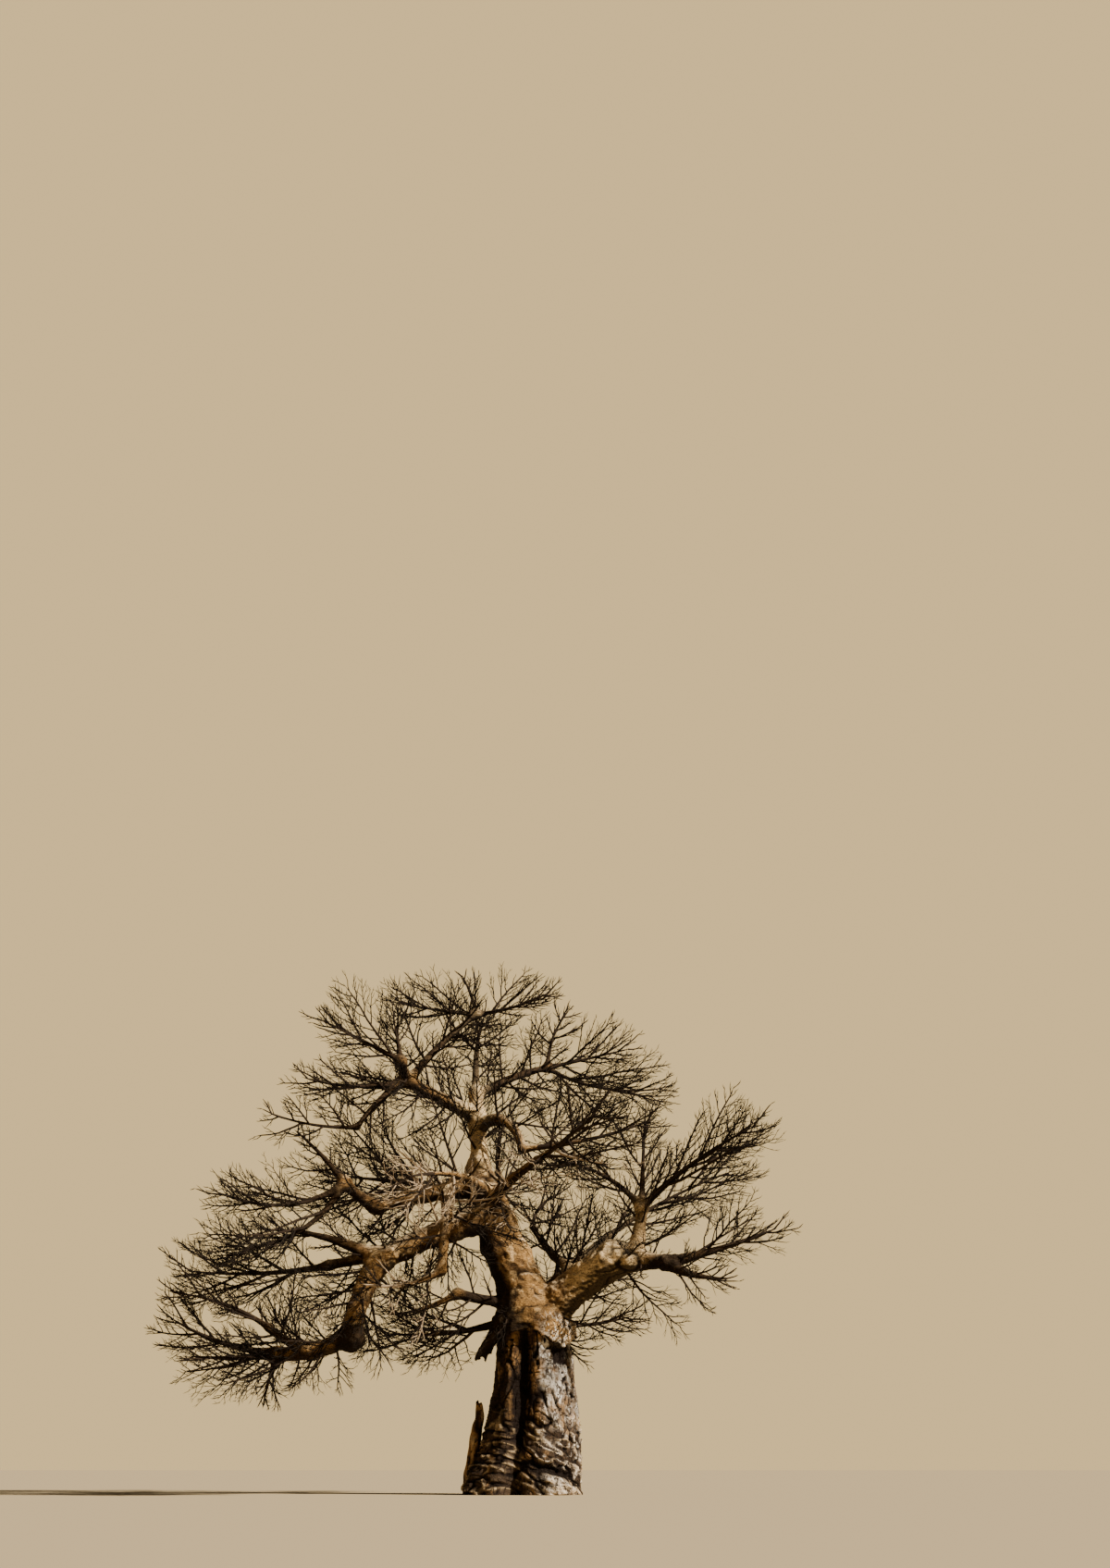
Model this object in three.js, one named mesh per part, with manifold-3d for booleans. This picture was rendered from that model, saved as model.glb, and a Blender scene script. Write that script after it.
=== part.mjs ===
// Bare baobab tree on level ground, in its leafless season: a stout fluted trunk, its
// boughs, and the masses of bare twigs at their tips. Units are millimetres, +Z is up.
// The origin is at the middle of the trunk's flat cut at ground level. +X is to the right
// of the tree's broad view and +Y is away from it.
// A heading turns in degrees from +X towards +Y, and a climb is degrees above level.
import * as THREE from 'three';
import { mergeVertices } from 'three/addons/utils/BufferGeometryUtils.js';
import Module from 'manifold-3d';

const wasm = await Module();
wasm.setup();

// Driving sizes, in metres where the name doesn't say otherwise
const METRE = 1000;
const GAP = 0.35 / METRE;
// Corners of a mesh nearer than this many millimetres are one
const WELD = 0.01;
const UP = new THREE.Vector3(0, 0, 1);
const LIMB_SIDES = 7;
const PATH_STEPS = 12;
const LIMB_EVERY = 3;
const STEM_EVERY = 3;
const DOME = 0.45;
const TWIG_SIDES = 3;
const TRUNK_SIDES = 24;
const TRUNK_RINGS = 18;
const TRUNK_LINE_STEPS = 96;

// Trunk stations: height, lean to the right, lean to the back, radius
const TRUNK = [
  [0.0, 0.02, 0.00, 1.56],
  [0.6, 0.08, 0.00, 1.50],
  [1.8, 0.20, 0.00, 1.40],
  [3.2, 0.25, 0.00, 1.22],
  [4.4, 0.25, 0.00, 1.18],
  [4.9, 0.22, 0.00, 1.16],
  [5.4, 0.14, 0.00, 0.96],
  [6.0, -0.10, 0.00, 0.80],
  [7.0, -0.59, -0.05, 0.75],
  [8.2, -1.00, -0.10, 0.60],
  [9.0, -1.34, 0.00, 0.54],
  [9.6, -1.50, 0.00, 0.40],
];
// Flutes and root lobes: heading, half width in degrees, relief at the ground, relief at
// mid trunk, both in metres, and the height where the lobe has died away
const LOBES = [
  [298, 24, 0.26, 0.06, 4.6],
  [215, 20, 0.28, 0.10, 4.8],
  [237, 9, 0.06, 0.12, 4.5],
  [350, 22, 0.12, 0.06, 4.6],
  [160, 24, 0.20, 0.06, 4.6],
  [100, 26, 0.24, 0.08, 4.6],
  [45, 24, 0.26, 0.08, 4.6],
];
const FLARE_FADE = 0.7;
const LOBE_FADE = 1.2;
// The left root's knee, the groove beside it, and the lip of older bark
const KNEE = { heading: 205, halfWidth: 24, height: 0.55, halfHeight: 0.75, reach: 0.34 };
const GROOVE = { heading: 255, halfWidth: 10, depth: 0.24, top: 4.9, fade: 0.8 };
const LIP = { height: 4.75, drop: 0.55, reach: 0.10 };
// How the trunk closes at its top: share of its radius, and metres of rise to each ring
const CROWN = { share: 0.6, rise: 0.12 };
// The broken stub that stands on the left root, and the flap of bark that hangs from the
// lip: root, heading and climb, length, radii at both ends
const STUB = { root: [-1.62, -0.50, 0.3], lean: [10, 83], length: 2.2, radii: [0.22, 0.13] };
const FLAP = { root: [-0.62, -0.42, 4.95], lean: [186, -51], length: 1.38, radii: [0.34, 0.07] };
const POST_STEPS = 3;

// Boughs: parent, metres along it, headings and climbs at both ends, length, radii
const BOUGHS = {
  leader: ['trunk', 9.6, [130, 160], [84, 86], 2.75, [0.29, 0.19]],
  upper_left_bough: ['leader', 2.0, [206, 206], [18, 26], 2.6, [0.22, 0.15]],
  summit_bough: ['upper_left_bough', 2.5, [34, 26], [52, 38], 3.3, [0.13, 0.09]],
  crook_bough: ['upper_left_bough', 2.5, [240, 275], [28, 30], 0.95, [0.15, 0.11]],
  left_drop_bough: ['upper_left_bough', 2.6, [212, 222], [-34, -52], 2.4, [0.13, 0.07]],
  upper_right_bough: ['leader', 2.65, [30, 36], [31, 15], 2.9, [0.14, 0.09]],
  elbow_bough: ['leader', 1.65, [316, 306], [25, -70], 2.6, [0.19, 0.13]],
  shoulder_bough: ['trunk', 9.45, [202, 212], [-9, -18], 3.65, [0.36, 0.20]],
  shoulder_reach: ['shoulder_bough', 3.6, [218, 212], [14, 44], 1.3, [0.19, 0.14]],
  low_left_bough: ['trunk', 8.4, [222, 214], [-14, -27], 4.45, [0.40, 0.31]],
  low_left_drop: ['low_left_bough', 4.45, [222, 215], [-50, -84], 2.45, [0.30, 0.30]],
  low_left_arm: ['low_left_drop', 2.4, [168, 170], [-30, 4], 2.3, [0.27, 0.16]],
  low_left_high: ['low_left_arm', 1.3, [198, 196], [14, 40], 1.4, [0.14, 0.10]],
  mid_left_bough: ['low_left_bough', 3.6, [155, 156], [-10, -8], 2.6, [0.22, 0.13]],
  front_droop_bough: ['shoulder_bough', 1.3, [282, 258], [-18, -74], 3.8, [0.20, 0.13]],
  spur_bough: ['trunk', 5.6, [199, 203], [-4, 14], 2.3, [0.19, 0.13]],
  low_right_bough: ['trunk', 4.9, [340, 336], [42, 30], 3.3, [0.58, 0.46]],
  low_right_reach: ['low_right_bough', 3.15, [334, 326], [0, -10], 1.9, [0.42, 0.23]],
  right_upright: ['low_right_reach', 0.75, [20, 50], [74, 82], 1.6, [0.25, 0.15]],
  back_right_bough: ['trunk', 5.5, [35, 34], [40, 34], 3.7, [0.18, 0.11]],
  back_stub_bough: ['back_right_bough', 1.9, [124, 112], [24, 38], 2.9, [0.15, 0.08]],
  back_bough: ['trunk', 8.9, [80, 88], [16, 4], 3.4, [0.26, 0.14]],
  front_right_bough: ['trunk', 8.9, [305, 292], [24, 6], 3.4, [0.24, 0.13]],
};

// Masses of twigs: limb, metres along the trunk or null for a bough's tip, the stem's
// headings and climbs, its reach, its radius at the root, the angle at which its twigs
// leave it, and the share of it that is bare
const TWIG_MASSES = {
  summit_twigs: ['summit_bough', null, [120, 150], [66, 60], 1.55, 0.07, 58, 0.05],
  summit_left_twigs: ['summit_bough', null, [190, 170], [2, 16], 2.6, 0.07, 38, 0.05],
  summit_right_twigs: ['summit_bough', null, [14, 20], [8, 32], 2.7, 0.07, 40, 0.05],
  crest_left_twigs: ['crook_bough', null, [186, 176], [28, 26], 3.0, 0.08, 38, 0.05],
  crest_up_twigs: ['crook_bough', null, [120, 80], [56, 60], 2.1, 0.08, 46, 0.05],
  brow_left_twigs: ['upper_left_bough', null, [222, 180], [-22, 18], 3.5, 0.10, 44, 0.1],
  left_drop_twigs: ['left_drop_bough', null, [200, 182], [-6, 22], 2.8, 0.06, 62, 0.02],
  crest_right_up_twigs: ['upper_right_bough', null, [70, 10], [80, 50], 2.3, 0.07, 62, 0.1],
  crest_right_twigs: ['upper_right_bough', null, [10, 2], [14, 14], 2.8, 0.07, 45, 0.05],
  right_eave_twigs: ['upper_right_bough', null, [-30, 8], [-33, 10], 4.0, 0.07, 36, 0.05],
  back_top_twigs: ['leader', null, [95, 80], [56, 34], 4.4, 0.12, 46, 0.1],
  heart_right_twigs: ['elbow_bough', null, [-20, 14], [0, 24], 4.2, 0.10, 50, 0.03],
  shoulder_up_twigs: ['shoulder_reach', null, [165, 150], [50, 36], 2.5, 0.10, 56, 0.05],
  far_left_twigs: ['shoulder_reach', null, [216, 180], [-38, 26], 4.1, 0.10, 40, 0.2],
  left_lower_twigs: ['shoulder_reach', null, [212, 190], [-62, 2], 4.4, 0.10, 42, 0.2],
  inner_left_twigs: ['low_left_bough', null, [186, 160], [28, 0], 3.8, 0.14, 46, 0.06],
  mid_left_twigs: ['mid_left_bough', null, [158, 184], [-8, 6], 4.6, 0.10, 46, 0.04],
  low_left_high_twigs: ['low_left_high', null, [180, 180], [34, 4], 3.1, 0.08, 48, 0.04],
  far_tip_twigs: ['low_left_arm', null, [170, 180], [4, 32], 3.5, 0.12, 42, 0.08],
  skirt_twigs: ['low_left_arm', null, [202, 186], [-10, 6], 2.6, 0.12, 40, 0.06],
  hanging_twigs: ['low_left_arm', null, [190, 200], [-70, -82], 1.6, 0.06, 50, 0.2],
  front_droop_twigs: ['front_droop_bough', null, [225, 200], [-30, 10], 2.8, 0.10, 66, 0.02],
  front_twigs: ['trunk', 9.0, [262, 230], [14, -14], 5.6, 0.17, 60, 0.24],
  spur_twigs: ['spur_bough', null, [205, 190], [-30, -6], 2.2, 0.10, 66, 0.02],
  low_back_twigs: ['trunk', 5.3, [148, 160], [-17, 5], 5.1, 0.13, 44, 0.32],
  low_right_far_twigs: ['low_right_reach', null, [-8, 8], [12, 22], 3.5, 0.15, 38, 0.04],
  low_right_under_twigs: ['low_right_reach', null, [-48, -6], [-30, 2], 2.2, 0.13, 46, 0.04],
  right_high_twigs: ['right_upright', null, [-30, -16], [40, 23], 4.4, 0.11, 36, 0.06],
  right_inner_twigs: ['right_upright', null, [145, 158], [48, 6], 3.7, 0.10, 42, 0.12],
  right_up_twigs: ['right_upright', null, [80, 70], [76, 80], 3.0, 0.09, 46, 0.08],
  back_right_twigs: ['back_right_bough', null, [30, 8], [34, 20], 5.0, 0.08, 42, 0.05],
  back_stub_twigs: ['back_stub_bough', null, [90, 50], [36, 20], 2.9, 0.06, 56, 0.03],
  back_twigs: ['back_bough', null, [92, 88], [8, 20], 4.2, 0.10, 56, 0.05],
  back_left_twigs: ['trunk', 9.2, [128, 136], [10, 8], 7.4, 0.20, 48, 0.34],
  front_right_twigs: ['front_right_bough', null, [290, 304], [6, 20], 4.0, 0.10, 56, 0.05],
  lip_twigs: ['trunk', 4.9, [14, 4], [-4, 16], 3.2, 0.09, 60, 0.42],
};

// Twig rule: side twigs of a stem, and their own side twigs. A stem has a side twig at
// some of its twelve places, and a side twig has fine ones there in pairs
const SIDE = { count: 12, share: 0.75, bend: 0.5, lift: 0.35, steps: 6, turn: 50 };
const FINE = { count: 12, share: 0.56, bend: 0.45, lift: 0.35, steps: 4, turn: 70, angle: 46 };
const SIDE_PLACES = [1, 3, 5, 7, 9, 10];
const FINE_PLACES = [2, 3, 8, 9];
const SIDE_BARE = 0.12;
const SIDE_RADIUS = 0.05;
const SIDE_TIP = 0.018;
const STEM_TIP = 0.02;
const GOLDEN = 137.5;
// Share of a parent where its last twig stands, share by which the angle closes on the
// way there, share of the parent's radius, and how the length falls off along the parent
const LAST_PLACE = 0.98;
const CLOSING = 0.25;
const THINNER = 0.6;
const FALL = { end: 1.12, power: 0.7 };
// How much chance moves a twig's place, its angle and its length
const LUCK = { place: 0.7, angle: 0.4, length: 0.5 };
// Collar from which a pair of fine twigs is drawn, and the least step between collars,
// as shares of the side twig
const COLLAR = 0.05;
const COLLAR_STEP = 0.06;
// Degrees by which a side twig's tube is turned, so that its faces look along fine twigs
const FACE_TURN = -30;
// Space that a twig keeps from another mass's stem, from limbs and from the trunk's middle
const OWN_SPACE = 0.14;
const LIMB_SPACE = 0.12;
const TRUNK_SPACE = 0.9;
// A twig that isn't free shrinks to this much of its free part, and at last is left out
const SHRINK = 0.9;
const LEAST_FREE = 0.3;

const radians = THREE.MathUtils.degToRad;
const { clamp, lerp: mix } = THREE.MathUtils;

// Bell curve that is 1 at 0
function bell(value, halfWidth) {
  return Math.exp(-((value / halfWidth) ** 2));
}

// Unit vector of a heading and a climb
function direction(heading, climb) {
  const h = radians(heading);
  const c = radians(climb);
  return new THREE.Vector3(Math.cos(c) * Math.cos(h), Math.cos(c) * Math.sin(h), Math.sin(c));
}

// Level vector square to a heading
function sideways(heading) {
  return new THREE.Vector3(Math.sin(radians(heading)), -Math.cos(radians(heading)), 0);
}

// Path whose heading and climb turn evenly from first to last along its length
function sweep(start, headings, climbs, length, steps) {
  const points = [start.clone()];
  for (let i = 0; i < steps; i += 1) {
    const t = (i + 0.5) / steps;
    const step = direction(mix(...headings, t), mix(...climbs, t));
    points.push(points[i].clone().addScaledVector(step, length / steps));
  }
  const sides = points.map((_, i) => sideways(mix(...headings, i / steps)));
  return { points, sides };
}

// Path with only every so many of its points
function thin(path, every) {
  const kept = (_, i) => i % every === 0;
  return { points: path.points.filter(kept), sides: path.sides.filter(kept) };
}

// Point at a share of a path's length, for steps of equal length
function pointAt(points, share) {
  const x = share * (points.length - 1);
  const i = Math.min(Math.floor(x), points.length - 2);
  return points[i].clone().lerp(points[i + 1], x - i);
}

// Closed round body along a path: a lathe of the given profile, bent along the points.
// A profile point is its radius share and its step along the path, where steps past the
// last one carry straight on by so many radii
function bend(path, profile, sides, radii, extra) {
  const lathe = new THREE.LatheGeometry(profile.map(([r, y]) => new THREE.Vector2(r, y)), sides);
  const last = path.points.length - 1;
  const place = lathe.attributes.position;
  const spot = new THREE.Vector3();
  for (let i = 0; i < place.count; i += 1) {
    const y = place.getY(i);
    const k = Math.min(Math.round(y), last);
    const before = path.points[Math.max(k - 1, 0)];
    const after = path.points[Math.min(k + 1, last)];
    const along = after.clone().sub(before).normalize();
    const side = path.sides[k];
    const other = side.clone().cross(along).normalize();
    const radius = mix(radii[0], radii[1], k / last) + extra;
    spot.copy(path.points[k]);
    spot.addScaledVector(along, Math.max(y - last, 0) * radius + (y === 0 ? -extra : 0));
    spot.addScaledVector(along, y >= last ? extra : 0);
    spot.addScaledVector(side, place.getX(i) * radius);
    spot.addScaledVector(other, place.getZ(i) * radius);
    place.setXYZ(i, spot.x * METRE, spot.y * METRE, spot.z * METRE);
  }
  return toSolid(lathe);
}

// Solid of a closed mesh, once its shared corners are merged
function toSolid(geometry) {
  geometry.deleteAttribute('normal');
  geometry.deleteAttribute('uv');
  const merged = mergeVertices(geometry, WELD);
  const corners = [];
  const index = merged.index.array;
  for (let i = 0; i < index.length; i += 3) {
    const [a, b, c] = [index[i], index[i + 1], index[i + 2]];
    if (a !== b && b !== c && c !== a) corners.push(a, b, c);
  }
  return new wasm.Manifold(new wasm.Mesh({
    numProp: 3,
    vertProperties: new Float32Array(merged.attributes.position.array),
    triVerts: new Uint32Array(corners),
  }));
}

// Profile of a limb with a domed tip, over so many steps
function limbProfile(steps) {
  const shaft = Array.from({ length: steps + 1 }, (_, i) => [1, i]);
  return [[0, 0], ...shaft, [0, steps + DOME]];
}

// Profile of a twig that ends in a point, over so many steps
function twigProfile(steps) {
  return [[0, 0], ...Array.from({ length: steps }, (_, i) => [1, i]), [0, steps]];
}

// Largest of the separate bodies of a solid
function largest(solid) {
  return solid.decompose().reduce((a, b) => (a.volume() > b.volume() ? a : b));
}

// True where the boxes of two solids meet
function boxesMeet(a, b) {
  const [p, q] = [a.boundingBox(), b.boundingBox()];
  return [0, 1, 2].every((k) => p.min[k] <= q.max[k] && q.min[k] <= p.max[k]);
}

// True where a solid runs into any of the others
function touches(solid, others) {
  return others.some((other) => boxesMeet(solid, other) && !solid.intersect(other).isEmpty());
}

// Solid with every earlier neighbour's room cut out of it
function clearOf(solid, rooms) {
  const near = rooms.filter((room) => boxesMeet(solid, room));
  return near.length ? largest(near.reduce((body, room) => body.subtract(room), solid)) : solid;
}

// Trunk values at a height, read between its stations
function station(height) {
  const i = Math.max(TRUNK.findIndex((row) => row[0] >= height), 1);
  const [low, high] = [TRUNK[i - 1], TRUNK[i]];
  const t = (height - low[0]) / (high[0] - low[0]);
  return low.map((value, k) => mix(value, high[k], t));
}

// Degrees between two headings, from 0 to 180
function apart(a, b) {
  return Math.abs(((a - b + 540) % 360) - 180);
}

// Radius of the trunk at a height and heading, with its lobes, knee, groove and bark lip
function trunkRadius(height, heading) {
  let radius = station(height)[3];
  for (const [at, halfWidth, foot, middle, top] of LOBES) {
    const flare = foot * Math.exp(-height / FLARE_FADE);
    const fade = clamp((top - height) / LOBE_FADE, 0, 1);
    radius += bell(apart(heading, at), halfWidth) * (flare + middle * fade);
  }
  const knee = bell(apart(heading, KNEE.heading), KNEE.halfWidth);
  const groove = bell(apart(heading, GROOVE.heading), GROOVE.halfWidth);
  radius += KNEE.reach * knee * bell(height - KNEE.height, KNEE.halfHeight);
  radius -= GROOVE.depth * groove * clamp((GROOVE.top - height) / GROOVE.fade, 0, 1);
  return radius + LIP.reach * clamp(1 - Math.abs(height - LIP.height) / LIP.drop, 0, 1);
}

// Middle line of the trunk, at even steps of its own length
function trunkPath(steps) {
  const top = TRUNK[TRUNK.length - 1][0];
  const fine = Array.from({ length: TRUNK_LINE_STEPS + 1 }, (_, i) => {
    const [height, right, back] = station(top * i / TRUNK_LINE_STEPS);
    return new THREE.Vector3(right, back, height);
  });
  const run = [0];
  for (let i = 1; i < fine.length; i += 1) run.push(run[i - 1] + fine[i].distanceTo(fine[i - 1]));
  const length = run[run.length - 1];
  const at = (distance) => {
    const i = Math.max(run.findIndex((value) => value >= distance), 1);
    const share = (distance - run[i - 1]) / (run[i] - run[i - 1]);
    return fine[i - 1].clone().lerp(fine[i], share);
  };
  const points = Array.from({ length: steps + 1 }, (_, i) => at(length * i / steps));
  return { points, at: (distance) => at(Math.min(distance, length)) };
}

// Straight post with a domed end: the stub or the flap
function postSolid({ root, lean: [heading, climb], length, radii }, extra) {
  const path = sweep(new THREE.Vector3(...root), [heading, heading], [climb, climb], length, POST_STEPS);
  return bend(path, limbProfile(POST_STEPS), LIMB_SIDES, radii, extra);
}

// Trunk solid: level rings of the fluted outline, closed flat at the ground, with the
// stub and the flap joined on
function trunkSolid(extra) {
  const top = TRUNK[TRUNK.length - 1][0];
  const rings = Array.from({ length: TRUNK_RINGS + 1 }, (_, i) => [1, i]);
  const profile = [[0, 0], ...rings, [CROWN.share, TRUNK_RINGS + 1], [0, TRUNK_RINGS + 2]];
  const lathe = new THREE.LatheGeometry(profile.map(([r, y]) => new THREE.Vector2(r, y)), TRUNK_SIDES);
  const place = lathe.attributes.position;
  for (let i = 0; i < place.count; i += 1) {
    const [x, y, z] = [place.getX(i), place.getY(i), place.getZ(i)];
    const height = top * Math.min(y / TRUNK_RINGS, 1);
    const rise = Math.max(y - TRUNK_RINGS, 0) * CROWN.rise;
    const heading = (THREE.MathUtils.radToDeg(Math.atan2(x, z)) + 360) % 360;
    const radius = Math.hypot(x, z) * (trunkRadius(height, heading) + extra);
    const [, right, back] = station(height);
    const out = direction(heading, 0).multiplyScalar(radius);
    place.setXYZ(i, (right + out.x) * METRE, (back + out.y) * METRE, (height + rise) * METRE);
  }
  return toSolid(lathe).add(postSolid(STUB, extra)).add(postSolid(FLAP, extra));
}

// Number from 0 to 1 that depends only on a twig's number and the channel
function chance(id, channel) {
  let h = (Math.imul(id, 0x9E3779B1) + Math.imul(channel, 0x85EBCA77)) >>> 0;
  h = Math.imul(h ^ (h >>> 15), 0x2C1B3C6D) >>> 0;
  h = Math.imul(h ^ (h >>> 12), 0x297A2D39) >>> 0;
  return ((h ^ (h >>> 15)) >>> 0) / 4294967296;
}

// Side twigs of a parent twig by the seeded rule. Twigs of a stem leave it all round,
// finer ones leave by turns on two sides, and all of them bend along and upwards
function branch(parent, rule, level, places) {
  return places.map((k) => {
    const id = parent.id * 16 + k + 1;
    const jitter = (channel) => chance(id, channel + 10 * level) - 0.5;
    const first = parent.bare;
    const t = mix(first, LAST_PLACE, (k + 0.5 + LUCK.place * jitter(1)) / rule.count);
    const start = pointAt(parent.points, t);
    const ahead = Math.min(Math.floor(t * (parent.points.length - 1)), parent.points.length - 2);
    const along = parent.points[ahead + 1].clone().sub(parent.points[ahead]).normalize();
    const side = along.clone().cross(UP).normalize();
    const other = side.clone().cross(along);
    const turn = (level === 2 ? GOLDEN : 180) * k + rule.turn * jitter(2);
    const roll = radians(turn + 360 * chance(parent.id, 5));
    const angle = (rule.angle ?? parent.fan) * (1 - CLOSING * t);
    const spread = radians(angle * (1 + LUCK.angle * jitter(3)));
    const out = side.multiplyScalar(Math.cos(roll)).addScaledVector(other, Math.sin(roll));
    const heading = along.clone().multiplyScalar(Math.cos(spread)).addScaledVector(out, Math.sin(spread));
    const fall = (FALL.end - t) ** FALL.power;
    const length = parent.length * rule.share * fall * (1 + LUCK.length * jitter(4));
    const points = [start];
    for (let i = 0; i < rule.steps; i += 1) {
      const u = (i + 0.5) / rule.steps;
      const step = heading.clone().addScaledVector(along, u * rule.bend).addScaledVector(UP, u * rule.lift);
      points.push(points[i].clone().addScaledVector(step.normalize(), length / rule.steps));
    }
    const radius = Math.min(mix(...parent.radii, t) * THINNER, SIDE_RADIUS);
    const radii = [radius, Math.min(radius, SIDE_TIP)];
    return { id, place: k, t, points, length, radii, bare: SIDE_BARE };
  });
}

// Distance of a point from a path
function distance(point, points) {
  const line = new THREE.Line3();
  const spot = new THREE.Vector3();
  let best = Infinity;
  for (let i = 1; i < points.length; i += 1) {
    line.set(points[i - 1], points[i]).closestPointToPoint(point, true, spot);
    best = Math.min(best, spot.distanceTo(point));
  }
  return best;
}

// The part of a twig that keeps nearer to its own stem than to any other, and clear of
// the limbs. The twig shrinks to that, and is left out where little of it is free
function fitted(twig, own, stems, limbs) {
  const bad = twig.points.findIndex((point, i) => {
    if (i === 0) return false;
    const mine = distance(point, own.points);
    return stems.some((stem) => stem !== own && distance(point, stem.points) < mine + OWN_SPACE)
      || limbs.some((limb) => distance(point, limb.points) < limb.radii[0] + LIMB_SPACE);
  });
  if (bad < 0) return [twig];
  const share = SHRINK * (bad - 1) / (twig.points.length - 1);
  if (share < LEAST_FREE) return [];
  const points = twig.points.map((point) => twig.points[0].clone().lerp(point, share));
  return [{ ...twig, points, length: twig.length * share }];
}

// Body of a side twig: a three-sided tube that ends in a point. Where a pair of fine
// twigs leaves it, two of its faces are drawn out to their tips
function spraySolid(twig, fine) {
  const pairs = new Map();
  for (const child of fine) {
    const pair = Math.floor(child.place / 2);
    pairs.set(pair, [...(pairs.get(pair) ?? []), child]);
  }
  const rings = [{ t: 0, drawn: [] }];
  for (const drawn of [...pairs.values()].sort((a, b) => a[0].t - b[0].t)) {
    const middle = Math.max(drawn[0].t, rings[rings.length - 1].t + COLLAR_STEP);
    rings.push({ t: middle - COLLAR / 2, drawn }, { t: middle + COLLAR / 2, drawn: [] });
  }
  const along = twig.points[1].clone().sub(twig.points[0]).normalize();
  const side = along.clone().cross(UP).normalize();
  const turn = radians(360 * chance(twig.id, 5) + FACE_TURN);
  const corners = rings.flatMap(({ t }) => {
    const middle = pointAt(twig.points, t);
    const ahead = pointAt(twig.points, Math.min(t + COLLAR, 1)).sub(middle).normalize();
    const other = side.clone().cross(ahead).normalize();
    const radius = mix(...twig.radii, t);
    return [0, 1, 2].map((j) => {
      const angle = turn + j * radians(120);
      const corner = middle.clone().addScaledVector(side, radius * Math.cos(angle));
      return corner.addScaledVector(other, radius * Math.sin(angle));
    });
  });
  const end = corners.length;
  const tips = [twig.points.at(-1)];
  const faces = [0, 1, 2];
  rings.forEach(({ drawn }, i) => {
    for (let j = 0; j < 3; j += 1) {
      const [a, b] = [3 * i + j, 3 * i + (j + 1) % 3];
      const [c, d] = [b + 3, a + 3];
      const child = drawn.find((one) => one.place % 2 === j);
      if (i === rings.length - 1) {
        faces.push(a, end, b);
      } else if (child) {
        const tip = end + tips.length;
        tips.push(child.points.at(-1));
        faces.push(a, d, tip, d, c, tip, c, b, tip, b, a, tip);
      } else {
        faces.push(a, d, c, a, c, b);
      }
    }
  });
  const places = [...corners, ...tips].flatMap((point) => point.clone().multiplyScalar(METRE).toArray());
  return new wasm.Manifold(new wasm.Mesh({
    numProp: 3,
    vertProperties: new Float32Array(places),
    triVerts: new Uint32Array(faces),
  }));
}

const group = new THREE.Group();
const bark = { color: 0x8a6038, roughness: 0.9, metalness: 0 };
const twigBark = { color: 0x3a2a1e, roughness: 0.95, metalness: 0 };

// Adds a solid to the scene as a named mesh
function addMesh(name, solid, finish) {
  const mesh = solid.getMesh();
  const geometry = new THREE.BufferGeometry();
  geometry.setAttribute('position', new THREE.BufferAttribute(mesh.vertProperties, 3));
  geometry.setIndex(new THREE.BufferAttribute(mesh.triVerts, 1));
  geometry.computeVertexNormals();
  const piece = new THREE.Mesh(geometry, new THREE.MeshStandardMaterial(finish));
  piece.name = name;
  group.add(piece);
}

// Trunk and boughs, each cut clear of those before it
const trunk = trunkPath(PATH_STEPS * 2);
const paths = {};
const limbs = [{ points: trunk.points, radii: [TRUNK_SPACE, TRUNK_SPACE] }];
const rooms = [trunkSolid(GAP)];
addMesh('trunk', trunkSolid(0), bark);
for (const [name, [parent, at, headings, climbs, length, radii]] of Object.entries(BOUGHS)) {
  const from = parent === 'trunk'
    ? trunk.at(at)
    : pointAt(paths[parent].points, Math.min(at / BOUGHS[parent][4], 1));
  const path = sweep(from, headings, climbs, length, PATH_STEPS);
  paths[name] = path;
  const spine = thin(path, LIMB_EVERY);
  const profile = limbProfile(spine.points.length - 1);
  addMesh(name, clearOf(bend(spine, profile, LIMB_SIDES, radii, 0), rooms), bark);
  rooms.push(bend(spine, profile, LIMB_SIDES, radii, GAP));
  limbs.push({ points: path.points, radii });
}

// Masses of twigs, each on one stem
const stems = Object.entries(TWIG_MASSES).map(([name, row], i) => {
  const [limb, at, headings, climbs, reach, radius, fan, bare] = row;
  const from = at === null ? paths[limb].points[PATH_STEPS] : trunk.at(at);
  const path = sweep(from, headings, climbs, reach, PATH_STEPS);
  return { name, id: i + 1, ...path, length: reach, radii: [radius, STEM_TIP], fan, bare };
});
const spines = stems.map((stem) => thin(stem, STEM_EVERY));
const stemProfile = twigProfile(PATH_STEPS / STEM_EVERY);
const stemRooms = stems.map(({ radii }, i) => bend(spines[i], stemProfile, TWIG_SIDES, radii, GAP));
const placed = [];
stems.forEach((stem, i) => {
  const core = clearOf(
    bend(spines[i], stemProfile, TWIG_SIDES, stem.radii, 0),
    [...rooms, ...stemRooms.slice(0, i)],
  );
  const others = [...rooms, ...stemRooms.filter((_, j) => j !== i), ...placed];
  const fit = (twig) => fitted(twig, stem, stems, limbs);
  const sprays = branch(stem, SIDE, 2, SIDE_PLACES).flatMap(fit).flatMap((twig) => {
    const fine = branch(twig, FINE, 3, FINE_PLACES).flatMap(fit);
    const tries = [spraySolid(twig, fine), spraySolid(twig, [])];
    return tries.filter((spray) => !touches(spray, others)).slice(0, 1);
  });
  const mass = largest(wasm.Manifold.union([core, ...sprays]));
  placed.push(mass);
  addMesh(stem.name, mass, twigBark);
});

export default group;
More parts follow.
